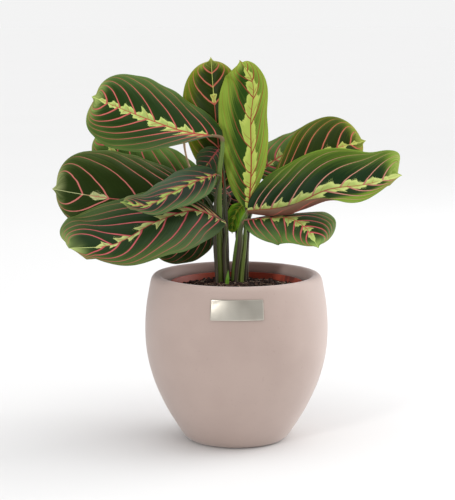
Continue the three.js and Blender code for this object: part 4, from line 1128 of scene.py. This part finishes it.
LEAVES = [
    Leaf(
        "leaf_upper_left", (-15, 4), [(-15.5, 4, 190), (-15, 2, 240), (-12.5, -2.5, 262)],
        [(-11.3, -6, 271), (-44, -14, 276), (-74, -22, 286.5), (-99, -30, 297), (-124, -38, 308)],
        (-0.1, -0.75, 0.65), face_tip=(-0.3, -0.85, 0.5), girth=2.6, gap=0.2, front=0.9, pale_from=0.86,
        stem=StemKind.GREEN,
        left=Half(36.5, 0.66, 0.4, curl=-24, sweep=0.3, base_fullness=1.2, veins=9, vein_run=1, vein_bend=0.4,
                  feather=7.5, feather_from=-0.05, inner=0.08, outer=0.45, bloom=0.6, bloom_at=0.08),
        right=Half(42, 0.46, 0.44, sweep=0.1, base_fullness=0.5, feather=9.5, feather_from=-0.05, inner=0.04, outer=0.5),
    ),
    Leaf(
        "leaf_left", (-12, 9.8), [(-16, 9.5, 180), (-20.5, 9.5, 205), (-29, 11, 217.5)],
        [(-36, 12, 222), (-68, 6, 216), (-98, 0, 215), (-133, -6, 220), (-162, -12, 226)],
        (0, -0.8, 0.6), face_tip=(-0.2, -0.9, 0.4), kind=LeafKind.UMBER, gap=0, front=0.8, pale_from=0.7,
        left=Half(38, 0.46, 0.5, curl=-24, veins=7, first_vein=0.04, last_vein=0.77, vein_spread=1.7, vein_run=0.9,
                  vein_bend=0.5, feather=5, feather_from=0.6, feather_grow=0.04, feather_to=0.76, inner=0.05,
                  outer=0.3, tip_light=0.4),
        right=Half(48.5, 0.48, 0.41, curl=-14, sweep=0.15, base_fullness=0.57, veins=7, first_vein=0.04,
                   last_vein=0.77, vein_spread=1.7, feather=6, feather_from=0.6, feather_grow=0.04,
                   feather_to=0.76, inner=0.03, outer=0.4, tip_light=0.4),
    ),
    Leaf(
        "leaf_small_front", (-17.5, -1.5), [(-19.5, 0, 180), (-19.5, 0.3, 205), (-17, -3.5, 226), (-14.5, -6.5, 236)],
        [(-17, -10, 239), (-37, -24, 233), (-56, -38, 225), (-77, -50, 216), (-99, -60, 220)],
        (-0.1, -0.75, 0.65), face_tip=(-0.4, -0.75, 0.6), kind=LeafKind.BLUISH, girth=1.5, wave=0.8,
        vein_width=0.75, gap=0.1, front=0.75,
        left=Half(19.5, 0.38, 0.95, base_fullness=1.3, vein_shift=0.6, feather=5.5, feather_from=-0.2, inner=0.05,
                  outer=0.85, dark_to=0.4),
        right=Half(19.5, 0.3, 0.4, curl=-14, base_fullness=0.65, vein_run=0.92, vein_bend=0.4, feather=6,
                   feather_from=-0.2, inner=0.1, outer=0.6, bloom=0.4, bloom_at=0.4),
    ),
    Leaf(
        "leaf_lower_left", (-9.4, 3), [(-10.5, 3, 170), (-9, 0.5, 186)],
        [(-9, -4, 195.5), (-36, -18, 207.5), (-69, -34, 200), (-106, -51, 182.3), (-143, -60, 180.3)],
        (0, -0.65, 0.75), face_tip=(-0.4, -0.75, 0.5), girth=2, swell=1.3, wave=0.7, kind=LeafKind.ROSE, gap=0,
        front=0.74, vein_width=1.3,
        left=Half(35.3, 0.42, 1.05, fold=-4, curl=-30, base_fullness=0.9, first_vein=0.06, last_vein=0.8,
                  vein_rise=0.15, vein_bend=1, feather=6, feather_from=-0.3, feather_to=0.87, inner=0.12, outer=0.6,
                  tip_light=0.8, bloom=0.35),
        right=Half(52, 0.66, 0.85, fold=0, curl=-14, sweep=0.45, sweep_tip=2.3, base_fullness=0.62, first_vein=0.06,
                   last_vein=0.8, vein_shift=0.5, vein_run=0.95, vein_bend=0.35, feather=9, feather_from=-0.3, feather_to=0.86,
                   inner=0.05, outer=0.45, tip_light=0.4),
    ),
    Leaf(
        "leaf_low_back_left", (-16.8, 14.5), [(-18, 17, 172), (-18.5, 18.5, 184)],
        [(-20, 19, 191), (-38, 26, 180), (-58, 34, 172), (-78, 42, 168)],
        (0, -0.93, 0.37), girth=1.6,
        left=Half(22, 0.48, base_fullness=0.6, inner=0.02, outer=0.25),
        right=Half(30, 0.36, curl=-14, sweep=-0.5, base_fullness=0.22, inner=0.0, outer=0.2),
    ),
    Leaf(
        "leaf_top_left", (-7.5, 14.3), [(-9.5, 16.5, 185), (-11, 16.5, 207)],
        [(-11, 14.5, 223.7), (-16, 17, 262), (-20, 23, 302), (-23, 30, 340)],
        (-0.1, -0.95, 0.15), kind=LeafKind.OLIVE, gap=0, front=0.7, pale_from=0.64,
        left=Half(30, 0.6, feather=5, feather_from=0.6, feather_grow=0.04, feather_to=0.74, inner=0.04, outer=0.7,
                  tip_light=0.5),
        right=Half(26.5, 0.6, feather=5, feather_from=0.6, feather_grow=0.04, feather_to=0.74, inner=0.04, outer=0.6,
                   tip_light=0.5),
    ),
    Leaf(
        "leaf_top", (-2.5, 10.5), [(-1, 9.5, 162), (1.5, 7.2, 181), (5.5, 5, 197)],
        [(11, 4, 206), (13, 6, 243), (12.5, 4, 285), (14, -0.5, 318), (2.5, -6, 338)],
        (-0.2, -0.95, 0.1), kind=LeafKind.LIME, girth=2.1, vein_width=0.8, streaks=1.3, teeth=1.6, gap=0.5,
        front=1.0, pale_from=1.2, stem=StemKind.BRIGHT, slot="young_leaf",
        left=Half(30.2, 0.5, 0.75, curl=-16, sweep=0.4, base_fullness=0.4, first_vein=0.04, last_vein=0.76,
                  vein_spread=1.45, vein_rise=0.22, vein_bend=1, feather=9, feather_from=-0.2, feather_to=0.93,
                  inner=0.0, outer=0.8, dark_to=0.3, light_by=0.88),
        right=Half(15.5, 0.42, 0.36, fold=-18, curl=-6, base_fullness=2.2, feather=6, feather_from=-0.2,
                   feather_to=0.93, inner=0.5, outer=0.85),
    ),
    Leaf(
        "leaf_back_left", (-11.2, 18.5), [(-12, 22, 185), (-14, 24, 205), (-20, 25.5, 217)],
        [(-30, 25, 222), (-64, 28, 229), (-98, 30, 244), (-128, 32, 273)],
        (0, -0.85, 0.5), kind=LeafKind.FRESH,
        left=Half(28, inner=0.4, outer=0.8), right=Half(34, curl=-14, inner=0.35, outer=0.9, tip_light=0.8),
    ),
    Leaf(
        "leaf_right_back", (7.8, 8.5), [(10.2, 9.5, 180), (12.2, 11.5, 202)],
        [(12, 12, 213), (43, 16, 234), (79, 24, 255), (117, 32, 265)],
        (0.1, -0.85, 0.5), kind=LeafKind.OLIVE, girth=1.5, gap=0.1, front=0.8,
        left=Half(34, 0.75, 0.42, curl=-18, base_fullness=1, vein_bend=0.8, feather=7, feather_from=0.3,
                  inner=0.04, outer=0.3, tip_light=0.7),
        right=Half(30, curl=-14, vein_bend=0.5, inner=0.1, outer=0.5),
    ),
    Leaf(
        "leaf_far_right", (6.5, 17.5), [(9.5, 20, 185), (14, 24, 219)],
        [(18, 25, 235), (36, 34, 248), (60, 47, 261), (92, 64, 284)],
        (0.2, -0.8, 0.6), kind=LeafKind.FRESH, girth=1.6,
        left=Half(19, 0.32, curl=-18, inner=0.6, outer=0.9), right=Half(24, curl=-14, inner=0.5, outer=0.8),
    ),
    Leaf(
        "leaf_right", (4.9, 4.8), [(8, 3, 180), (8, 0.5, 196)],
        [(9, -2, 205), (46, -8, 210.2), (80, -17, 225.9), (111, -24, 231), (143, -30, 240)],
        (0, -0.85, 0.5), face_tip=(0.1, -0.8, 0.6), girth=1.6, wave=0.5, kind=LeafKind.PALE_VEINED, gap=0.35,
        front=0.9, stem=StemKind.GREEN,
        left=Half(38, 0.3, 0.16, fold=22, fold_tip=0, curl=-14, sweep=0.34, base_fullness=0.7, first_vein=0.04,
                  vein_spread=1.45, vein_rise=0.16, vein_bend=0.8, feather=9, feather_from=-0.2, feather_to=1.0,
                  inner=0.0, outer=0.45, dark_to=0.2, tip_light=0.95),
        right=Half(23, 0.44, 0.85, fold=-30, curl=190, fold_tip=0, curl_tip=0, base_fullness=0.6, vein_run=0.9,
                   vein_bend=0.5, feather=6, feather_from=-0.2, feather_to=1.0, inner=0.1, outer=1.0,
                   dark_to=0.35, light_by=0.75, tip_light=0.95),
    ),
    Leaf(
        "leaf_lower_right", (0, 4.5), [(3.5, 2, 175), (4, -1, 189)],
        [(6, -4, 197.2), (27, -7.5, 200), (47, -17, 200.5), (61, -28, 192.4), (71, -37, 177)],
        (0.1, -0.7, 0.7), face_tip=(0.5, -0.8, 0.2), girth=2.1, swell=1.2, wave=0.6, kind=LeafKind.FRESH, gap=0.15,
        left=Half(40, 0.58, 0.5, fold=-45, fold_tip=0, base_fullness=0.9, vein_run=1, vein_bend=0.6, feather=8.5,
                  last_vein=0.8, feather_to=0.93, inner=0.12, outer=0.6, tip_light=1),
        right=Half(27.5, 0.52, 0.7, fold=0, sweep=0.1, base_fullness=0.4, vein_rise=0.35, vein_bend=1, feather=8.5,
                   last_vein=0.78, feather_to=0.93, inner=0.1, outer=0.85, bloom=0.3, tip_light=1),
    ),
    Leaf(
        "leaf_young_hanging", (3.6, 10.2), [(7, 11, 180), (8, 11.5, 200)],
        [(5.5, 11.5, 209), (1, 11, 204), (-3, 11.5, 195), (-4, 12, 183)],
        (-0.3, -0.9, 0.4), kind=LeafKind.BUD, girth=1.3, wave=0.4, vein_width=0.5, gap=0,
        stem=StemKind.BRIGHT, slot="young_leaf",
        left=Half(8, fold=10, veins=6, feather=1.5, inner=0.2, outer=0.9),
        right=Half(8, fold=10, veins=6, feather=1.5, inner=0.2, outer=0.9),
    ),
    Leaf(
        "leaf_small_back", (-7.4, 7.4), [(-8, 7.5, 180), (-9.5, 8, 215), (-12.5, 8.5, 248)],
        [(-16, 9, 259), (-22, 9, 251), (-27, 10, 244), (-33, 11, 238)],
        (0, -0.97, 0.25), kind=LeafKind.BLUISH, girth=1.1, wave=0.4, vein_width=0.5, gap=0,
        left=Half(13, veins=6, feather=0.8, inner=0.25, outer=0.6),
        right=Half(13, veins=6, feather=0.8, inner=0.2, outer=0.6),
    ),
    Leaf(
        "leaf_rear_left", (-12.5, 24), [(-12, 27, 185), (-9, 29, 203)],
        [(-5, 31, 214), (-21, 62, 230), (-38, 97, 233), (-52, 130, 222)],
        (-0.1, -0.25, 1), girth=1.6, left=Half(29), right=Half(29),
    ),
    Leaf(
        "leaf_rear_right", (9.5, 25), [(10.5, 27.5, 182), (12.5, 26, 197)],
        [(16, 26, 206), (42, 58, 220), (72, 88, 219), (98, 112, 204)],
        (0.1, -0.1, 1), girth=1.6, kind=LeafKind.ROSE, left=Half(30), right=Half(30),
    ),
    Leaf(
        "leaf_rear_middle", (1.5, 21), [(1, 25, 172), (0, 28.5, 188)],
        [(0, 31, 199), (4, 62, 212), (10, 98, 208), (14, 130, 194)],
        (0, -0.1, 1), girth=1.6, kind=LeafKind.UMBER, left=Half(), right=Half(),
    ),
]


# Pots, plate and soil


@dataclass
class Cachepot:
    """The ceramic outer pot and the bare plate on its front."""

    finishes: Finishes
    top: float = 149
    floor: float = 8
    sides: int = 144
    samples: int = 190
    plate_width: float = 45.2
    plate_height: float = 17.4
    plate_thickness: float = 0.8
    plate_middle: float = 130
    plate_corner: float = 0.8
    plate_gap: float = 0.3
    outside: list[tuple[float, float]] = field(
        default_factory=lambda: [
            (0, 0), (39, 0), (43, 0.8), (46.5, 3.4), (54.8, 15.5), (64.8, 33), (74.2, 55), (79.8, 77), (81.5, 98),
            (80.4, 120), (77.8, 136), (75.6, 145.6), (73.4, 148.4),
        ]
    )
    inside: list[tuple[float, float]] = field(
        default_factory=lambda: [
            (71.4, 149), (68.2, 148.2), (65.7, 145.6), (64.8, 141), (68.4, 134), (72.6, 118), (73.6, 98), (72, 78),
            (66.6, 57), (57.6, 37), (48, 21), (42, 11), (37, 8), (0, 8),
        ]
    )

    def make_pot(self) -> bpy.types.Object:
        """The pot: a smooth profile through its driving points, turned round Z."""
        outer = rounded_profile(self.outside + self.inside[:1], self.samples // 2, 0)
        inner = rounded_profile(self.inside, self.samples // 2, self.floor)
        profile = np.vstack([outer[:-1], inner])
        return turned_body(profile, self.sides, "glazed_cachepot", [self.finishes.ceramic()])

    def make_plate(self) -> bpy.types.Object:
        """The plate: a sheet bent round the pot, with corners rounded by a circle and softened edges."""
        profile = rounded_profile(self.outside, 400, 0)
        rows, columns = 24, 60
        up = np.sin(np.linspace(-np.pi / 2, np.pi / 2, rows))
        z = self.plate_middle + self.plate_height / 2 * up
        edge = self.plate_height / 2 - np.abs(z - self.plate_middle)
        inset = np.maximum(self.plate_corner - edge, 0)
        cut = self.plate_corner - np.sqrt(self.plate_corner**2 - inset**2)
        radius = np.interp(z, profile[:, 1], profile[:, 0])
        middle_radius = float(np.interp(self.plate_middle, profile[:, 1], profile[:, 0]))
        across = np.sin(np.linspace(-np.pi / 2, np.pi / 2, columns))
        reach = (self.plate_width / 2 - cut)[:, None] * across[None, :]
        turn = -np.pi / 2 + reach / middle_radius
        outward = np.stack([np.cos(turn), np.sin(turn), 0 * turn], -1)
        to_edge = np.minimum(edge[:, None], self.plate_width / 2 - np.abs(reach))
        soft = 0.22 * np.exp(-((to_edge / 0.35) ** 2))
        foot = (radius + self.plate_gap)[:, None, None] * outward
        foot[..., 2] = z[:, None]
        maker = MeshMaker()
        front = maker.add_points(foot + outward * (self.plate_thickness - soft)[..., None])
        back = maker.add_points(foot)
        maker.add_grid(front)
        maker.add_grid(back, turned_over=True)
        add_rim(maker, back, front)
        return maker.make("bare_plate", [self.finishes.brushed()])


@dataclass
class NurseryPot:
    """The thin plastic pot inside, with its collar, flat foot and drain holes."""

    finishes: Finishes
    rim_height: float = 141
    rim_radius: float = 60
    foot_radius: float = 36
    foot_height: float = 8
    wall: float = 1.4
    collar: float = 9
    sides: int = 120
    drain_holes: int = 5
    drain_radius: float = 5
    drain_circle: float = 22

    @property
    def body_radius(self) -> float:
        """Outer radius just under the collar."""
        return self.rim_radius - 2.2

    @property
    def collar_foot(self) -> float:
        """Height of the collar's lower edge."""
        return self.rim_height - self.collar

    def make(self) -> bpy.types.Object:
        """The pot as a turned body, with the drain holes cut through its floor."""
        rim, body, wall = self.rim_radius, self.body_radius, self.wall
        corners = np.array(
            [
                [0, self.foot_height],
                [self.foot_radius - 0.6, self.foot_height],
                [self.foot_radius, self.foot_height + 0.6],
                [body - 0.1, self.collar_foot - 0.6],
                [body, self.collar_foot],
                [rim - 0.8, self.collar_foot],
                [rim - 0.1, self.rim_height - 1.2],
                [rim - 0.25, self.rim_height - 0.3],
                [rim - 0.7, self.rim_height],
                [rim - wall, self.rim_height - 0.1],
                [rim - wall - 0.3, self.rim_height - 0.7],
                [body - wall + 0.2, self.collar_foot],
                [body - wall, self.collar_foot - 1],
                [self.foot_radius - wall, self.foot_height + wall],
                [0, self.foot_height + wall],
            ]
        )
        pot = turned_body(corners, self.sides, "terracotta_nursery_pot", [self.finishes.terracotta()])
        for polygon in pot.data.polygons:
            polygon.use_smooth = True
        pot.data.set_sharp_from_angle(angle=np.radians(35))
        self.cut_holes(pot)
        return pot

    def cut_holes(self, pot: bpy.types.Object) -> None:
        """Cuts the drain holes, which stand on a circle round the middle of the floor."""
        cutter_maker = MeshMaker()
        angle = 2 * np.pi * np.arange(24) / 24
        heights = np.array([self.foot_height - 1, self.foot_height + self.wall + 1])
        for k in range(self.drain_holes):
            way = 2 * np.pi * k / self.drain_holes
            ring = np.stack([np.cos(angle), np.sin(angle)], -1) * self.drain_radius
            ring = ring + self.drain_circle * np.array([np.cos(way), np.sin(way)])
            tube = np.stack([np.column_stack([ring, np.full(24, h)]) for h in heights])
            add_tube(cutter_maker, tube)
        cutter = cutter_maker.make("drain_cutter", [])
        cut = pot.modifiers.new("drain_holes", "BOOLEAN")
        cut.object = cutter
        cut.operation = "DIFFERENCE"
        cut.solver = "EXACT"
        finished = bpy.data.meshes.new_from_object(pot.evaluated_get(bpy.context.evaluated_depsgraph_get()))
        pot.modifiers.clear()
        pot.data = finished
        bpy.data.objects.remove(cutter)


@dataclass
class Soil:
    """Potting soil: a lumpy mound in the nursery pot, with crumbs and dry fibres on it."""

    finishes: Finishes
    pot: NurseryPot
    edge_height: float = 135.5
    crown_height: float = 140
    clearance: float = 0.3
    crumbs: int = 1100
    fibres: int = 170
    seed: int = 11

    @property
    def radius(self) -> float:
        """Radius of the soil at its surface."""
        return self.pot.body_radius - self.pot.wall - self.clearance

    def height(self, x: np.ndarray, y: np.ndarray) -> np.ndarray:
        """Height of the surface: a mound that falls off past the stems, with three sizes of lumps."""
        r = np.hypot(x, y)
        mound = np.interp(r, [0, 16, 32, 46, self.radius], [140, 140, 138.8, 136.1, self.edge_height])
        lumps = 0.55 * lattice_noise(x / 7, y / 7, self.seed)
        lumps = lumps + 0.45 * lattice_noise(x / 2.6, y / 2.6, self.seed + 1)
        lumps = lumps + 0.28 * lattice_noise(x / 1.1, y / 1.1, self.seed + 2)
        return mound + lumps - 0.3

    def make_mound(self) -> bpy.types.Object:
        """The soil's body: a polar grid for the surface, then the wall and the foot below it."""
        rings, sides = 110, 300
        share = np.linspace(0, 1, rings + 1)[1:, None]
        angle = (2 * np.pi * np.arange(sides) / sides)[None, :]
        x, y = self.radius * share * np.cos(angle), self.radius * share * np.sin(angle)
        top = np.stack([x, y, self.height(x, y)], -1)
        foot_z = self.pot.foot_height + self.pot.wall
        foot_radius = self.pot.foot_radius - self.pot.wall - self.clearance
        depth = np.linspace(0, 1, 12)[1:, None]
        start = self.pot.collar_foot - 1
        z = start + (foot_z - start) * depth
        r = self.radius + (foot_radius - self.radius) * depth
        wall = np.stack([r * np.cos(angle), r * np.sin(angle), z + 0 * angle], -1)
        maker = MeshMaker()
        numbers = maker.add_points(np.concatenate([top, wall]))
        maker.add_grid(np.concatenate([numbers, numbers[:, :1]], 1), turned_over=True)
        middle = self.height(np.zeros(1), np.zeros(1))[0]
        ends = maker.add_points(np.array([[0, 0, middle], [0, 0, foot_z]]))
        maker.add_fan(int(ends[0]), numbers[0])
        maker.add_fan(int(ends[1]), numbers[-1][::-1])
        return maker.make("soil_mound", [self.finishes.compost("moist_compost", (20, 14, 13), (58, 42, 36))])

    def make_crumbs(self) -> bpy.types.Object:
        """Crumbs: small rough balls of few faces, turned, squashed and half sunk into the soil."""
        rng = np.random.default_rng(self.seed)
        count = self.crumbs
        ball, faces = rough_ball()
        size = rng.gamma(2.6, 0.28, count) + 0.4
        r = (self.radius - 1.5) * np.sqrt(rng.uniform(0.0, 1, count))
        way = rng.uniform(0, 2 * np.pi, count)
        x, y = r * np.cos(way), r * np.sin(way)
        stretch = rng.uniform(0.6, 1.25, (count, 1, 3)) * size[:, None, None]
        lumps = 1 + rng.uniform(-0.22, 0.22, (count, len(ball), 1))
        turn = random_turns(rng, count)
        points = np.einsum("nij,nkj->nki", turn, ball[None] * lumps * stretch)
        centre = np.stack([x, y, self.height(x, y) + 0.25 * size], -1)
        maker = MeshMaker()
        numbers = maker.add_points(points + centre[:, None])
        maker.add_faces(numbers[:, faces].reshape(-1, 3))
        return maker.make("soil_crumbs", [self.finishes.compost("compost_crumbs", (24, 17, 15), (84, 60, 50))])

    def make_fibres(self) -> bpy.types.Object:
        """Fibres: thin bent threads that lie on the soil."""
        rng = np.random.default_rng(self.seed + 5)
        maker = MeshMaker()
        around = np.linspace(0, 1, 6)[None, :-1]
        t = np.linspace(0, 1, 9)
        for _ in range(self.fibres):
            r = (self.radius - 7) * np.sqrt(rng.uniform())
            way, heading = rng.uniform(0, 2 * np.pi, 2)
            length, bend = rng.uniform(3, 16), rng.uniform(-1.8, 1.8)
            turn = heading + bend * (t - 0.5)
            x = r * np.cos(way) + length * np.cumsum(np.cos(turn)) / len(t)
            y = r * np.sin(way) + length * np.cumsum(np.sin(turn)) / len(t)
            z = self.height(x, y) + 0.5 + rng.uniform(0, 1.0) * np.sin(np.pi * t)
            radius = rng.uniform(0.13, 0.26) * (1 - 0.6 * (2 * t - 1) ** 4)
            rings = tube_rings(Curve(np.stack([x, y, z], -1)), t, radius[:, None], around)
            add_tube(maker, rings)
        return maker.make("soil_fibres", [self.finishes.fibre()])


def rough_ball() -> tuple[np.ndarray, np.ndarray]:
    """Points and triangles of a ball with twenty faces, whose points are ratios of the golden mean."""
    long = (1 + np.sqrt(5)) / 2
    points = unit(
        np.array(
            [
                [-1, long, 0], [1, long, 0], [-1, -long, 0], [1, -long, 0], [0, -1, long], [0, 1, long],
                [0, -1, -long], [0, 1, -long], [long, 0, -1], [long, 0, 1], [-long, 0, -1], [-long, 0, 1],
            ]
        )
    )
    faces = np.array(
        [
            [0, 11, 5], [0, 5, 1], [0, 1, 7], [0, 7, 10], [0, 10, 11], [1, 5, 9], [5, 11, 4], [11, 10, 2],
            [10, 7, 6], [7, 1, 8], [3, 9, 4], [3, 4, 2], [3, 2, 6], [3, 6, 8], [3, 8, 9], [4, 9, 5], [2, 4, 11],
            [6, 2, 10], [8, 6, 7], [9, 8, 1],
        ]
    )
    return points, faces


def random_turns(rng: np.random.Generator, count: int) -> np.ndarray:
    """Random turning matrices, from unit quaternions drawn evenly."""
    w, x, y, z = unit(rng.normal(size=(count, 4))).T
    rows = [
        [1 - 2 * (y * y + z * z), 2 * (x * y - z * w), 2 * (x * z + y * w)],
        [2 * (x * y + z * w), 1 - 2 * (x * x + z * z), 2 * (y * z - x * w)],
        [2 * (x * z - y * w), 2 * (y * z + x * w), 1 - 2 * (x * x + y * y)],
    ]
    return np.array(rows).transpose(2, 0, 1)


@dataclass
class StemFeet:
    """The small pieces among the stems: dry sheath, dry stalk and young shoot."""

    finishes: Finishes
    soil_top: float = 140
    stem_foot: float = 116
    sheath_stem: tuple[float, float] = (-15, 4)
    sheath_girth: float = 2.6
    sheath_from: float = 100
    sheath_to: float = 205
    sheath_top: float = 27
    sheath_gap: float = 0.75
    sheath_thickness: float = 0.8

    def make_sheath(self) -> bpy.types.Object:
        """The sheath: a part of a cylinder round its stem that narrows to a point and leans off it."""
        rows, columns = 60, 24
        t = np.linspace(0, 1, rows)[:, None]
        across = np.linspace(0, 1, columns + 1)[None, :]
        spread = np.maximum(1 - np.maximum((t - 0.4) / 0.6, 0) ** 1.6, 0.08)
        middle = (self.sheath_from + self.sheath_to) / 2
        turn = np.radians(middle + (self.sheath_to - self.sheath_from) * (across - 0.5) * spread)
        ribs = 0.08 * np.sin(16 * np.pi * across)
        reach = self.sheath_girth + self.sheath_gap + self.sheath_thickness / 2 + 1.1 * t**2 + ribs
        x, y = self.sheath_stem
        z = self.soil_top - 1 + (self.sheath_top + 1) * t + 0 * across
        outward = np.stack([np.cos(turn), np.sin(turn), 0 * turn], -1)
        grid = np.stack([x + reach * np.cos(turn), y + reach * np.sin(turn), z], -1)
        thick = self.sheath_thickness / 2 * (1 - 0.55 * np.abs(2 * across - 1) ** 3)[..., None]
        maker = MeshMaker()
        outer = maker.add_points(grid + outward * thick)
        inner = maker.add_points(grid - outward * thick)
        maker.add_grid(outer)
        maker.add_grid(inner, turned_over=True)
        add_rim(maker, outer, inner)
        return maker.make("dry_stem_sheath", [self.finishes.dry("sheath_skin", (22, 14, 22), (66, 48, 56))])

    def make_flower_stalk(self) -> bpy.types.Object:
        """The dry stalk: a thin tube that swells below its top."""
        foot = (-13.6, 14.6)
        path = [
            (*foot, self.stem_foot), (*foot, self.soil_top + 3), (-14.5, 14.8, 175), (-22, 11.6, 206.5), (-33, 16, 226),
            (-42, 22, 242), (-46, 26, 256), (-47.5, 27, 270), (-49, 27, 283),
        ]
        t = np.linspace(0, 1, 90)
        radius = np.interp(t, np.linspace(0, 1, 9), [0.9, 0.9, 0.9, 0.9, 0.9, 0.9, 0.9, 1.5, 0.5])
        around = np.linspace(0, 1, 15)[None, :-1]
        maker = MeshMaker()
        add_tube(maker, tube_rings(Curve(path), t, radius[:, None], around))
        return maker.make("dry_flower_stalk", [self.finishes.dry("straw_skin", (160, 124, 88), (226, 196, 158))])

    def make_shoot(self) -> bpy.types.Object:
        """The young shoot: a rolled pointed spear, whose radius winds in a spiral round it."""
        x, y, girth, height = -8.5, -3.0, 1.9, 12.0
        path = [
            (x, y, self.stem_foot), (x, y, self.soil_top - 2), (x + 0.4, y, self.soil_top + height * 0.4),
            (x + 1.2, y, self.soil_top + height),
        ]
        t = np.linspace(0, 1, 60)
        around = np.linspace(0, 1, 25)[None, :-1]
        radius = np.interp(t, np.linspace(0, 1, 4), [girth, girth, girth * 0.95, 0.25])[:, None]
        roll = (around + 0.6 * t[:, None]) % 1
        rings = tube_rings(Curve(path), t, radius * (1 - 0.14 * roll), around)
        values = np.stack([0.5 + 0.5 * t[:, None] + 0 * around, around + 0 * t[:, None], 0 * roll], -1)
        maker = MeshMaker("stem")
        add_tube(maker, rings, values[:, :, None])
        # The pale lines' colour stands partly for painted highlights.
        colours = {"foot": (70, 104, 30), "top": (104, 156, 40), "stripe_and_highlight": (168, 200, 90)}
        return maker.make("green_shoot", [self.finishes.stem("shoot_skin", 4.0, colours)])


# Studio


@dataclass
class Studio:
    """Floor, soft light and the camera at the photograph's viewing angle."""

    finishes: Finishes
    camera_place: Point = (-8, -1400, 375)
    looks_at: Point = (-8, 0, 170)
    pixels_for_unit_depth: float = 1592
    frame_height: float = 500
    sensor: float = 36
    backdrop: float = 0.9
    surround: float = 0.54

    def floor(self) -> bpy.types.Object:
        """A wide plain floor, as a disc of rings."""
        radius = np.geomspace(50, 60000, 40)[:, None]
        angle = np.linspace(0, 2 * np.pi, 97)[None, :-1]
        rings = np.stack([radius * np.cos(angle), radius * np.sin(angle), 0 * radius * angle], -1)
        maker = MeshMaker()
        numbers = maker.add_points(rings)
        maker.add_grid(np.concatenate([numbers, numbers[:, :1]], 1), turned_over=True)
        middle = maker.add_points(np.zeros((1, 3)))
        maker.add_fan(int(middle[0]), numbers[0])
        return maker.make("studio_floor", [self.finishes.floor()])

    def camera(self) -> None:
        """A camera whose focal length gives the photograph's pixels for each unit of depth."""
        data = bpy.data.cameras.new("photo_camera")
        data.sensor_fit = "VERTICAL"
        data.sensor_height = self.sensor
        data.lens = self.pixels_for_unit_depth / self.frame_height * self.sensor
        data.clip_end = 200
        camera = bpy.data.objects.new("photo_camera", data)
        bpy.context.scene.collection.objects.link(camera)
        self.aim(camera, self.camera_place, self.looks_at)
        bpy.context.scene.camera = camera

    @staticmethod
    def aim(thing: bpy.types.Object, place: Point, target: Point) -> None:
        """Puts a camera or light at a place, looking at a target, both in millimetres."""
        back = unit(np.array(place, float) - np.array(target, float))
        side = unit(np.cross([0, 0, 1], back))
        up = np.cross(back, side)
        matrix = np.eye(4)
        matrix[:3, 0], matrix[:3, 1], matrix[:3, 2] = side, up, back
        matrix[:3, 3] = np.array(place) * MM
        thing.matrix_world = Matrix(matrix.tolist())

    def softbox(self, name: str, place: Point, size: float, power: float, tint: Colour = (255, 255, 255)) -> None:
        """A square area light that looks at the plant."""
        data = bpy.data.lights.new(name, "AREA")
        data.shape = "SQUARE"
        data.size = size
        data.energy = power
        data.color = linear(tint)[:3]
        light = bpy.data.objects.new(name, data)
        bpy.context.scene.collection.objects.link(light)
        self.aim(light, place, (0, 0, 180))

    def sun(self, name: str, place: Point, power: float, spread: float) -> None:
        """A sun that shines from a place's direction, as wide as its spread in degrees."""
        data = bpy.data.lights.new(name, "SUN")
        data.energy = power
        data.angle = np.radians(spread)
        lamp = bpy.data.objects.new(name, data)
        bpy.context.scene.collection.objects.link(lamp)
        self.aim(lamp, place, (0, 0, 0))

    def light(self) -> None:
        """Even white surroundings, soft light from above and the side, and a low sun for the shadow."""
        world = bpy.data.worlds.new("white_studio")
        world.use_nodes = True
        g = Graph(world.node_tree)
        background = world.node_tree.nodes["Background"]
        background.inputs["Color"].default_value = (1, 1, 1, 1)
        seen = g.node("ShaderNodeLightPath").outputs["Is Camera Ray"]
        strength = g.math("MULTIPLY_ADD", seen, self.backdrop - self.surround, self.surround)
        g.feed(background.inputs["Strength"], strength)
        bpy.context.scene.world = world
        self.sun("overhead_sun", (150, 0, 1400), 1.6, 75)
        self.sun("low_sun", (-900, -1300, 560), 0.75, 9)
        self.softbox("side_softbox", (1500, 500, 500), 1.4, 22)
        scene = bpy.context.scene
        scene.view_settings.view_transform = "Standard"
        scene.view_settings.look = "None"

    def set_up(self) -> None:
        """Makes the camera, the floor and the lights."""
        self.camera()
        self.floor()
        self.light()


def settle(piece: bpy.types.Object, slot: str, *nodes: str) -> None:
    """Lets a piece ride on the part's one body and stand for CAD nodes, and logs the slot meant for it."""
    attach(piece, BODY)
    if nodes:
        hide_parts(*nodes)
    log.info("%s: %d faces, slot %s, stands for %s", piece.name, len(piece.data.polygons), slot, nodes or "no node")


def main() -> None:
    """Builds the plant piece by piece round its frame."""
    logging.basicConfig(level=logging.INFO, format="%(message)s")
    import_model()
    finishes = Finishes()
    Studio(finishes).set_up()

    cachepot = Cachepot(finishes)
    settle(cachepot.make_pot(), "matte_ceramic", "cachepot")
    settle(cachepot.make_plate(), "brushed_plate", "label_plate")
    nursery_pot = NurseryPot(finishes)
    settle(nursery_pot.make(), "terracotta_plastic", "nursery_pot")
    soil = Soil(finishes, nursery_pot)
    settle(soil.make_mound(), "potting_soil", "potting_soil")
    settle(soil.make_crumbs(), "potting_soil")
    settle(soil.make_fibres(), "potting_soil")

    leaves = LeafMaker(finishes)
    for leaf in LEAVES:
        settle(leaves.make(leaf), leaf.slot, leaf.node)

    feet = StemFeet(finishes)
    settle(feet.make_sheath(), "dry_sheath", "stem_sheath")
    settle(feet.make_flower_stalk(), "dry_stalk", "flower_stalk")
    settle(feet.make_shoot(), "young_leaf", "new_shoot")


if __name__ == "__main__":
    main()
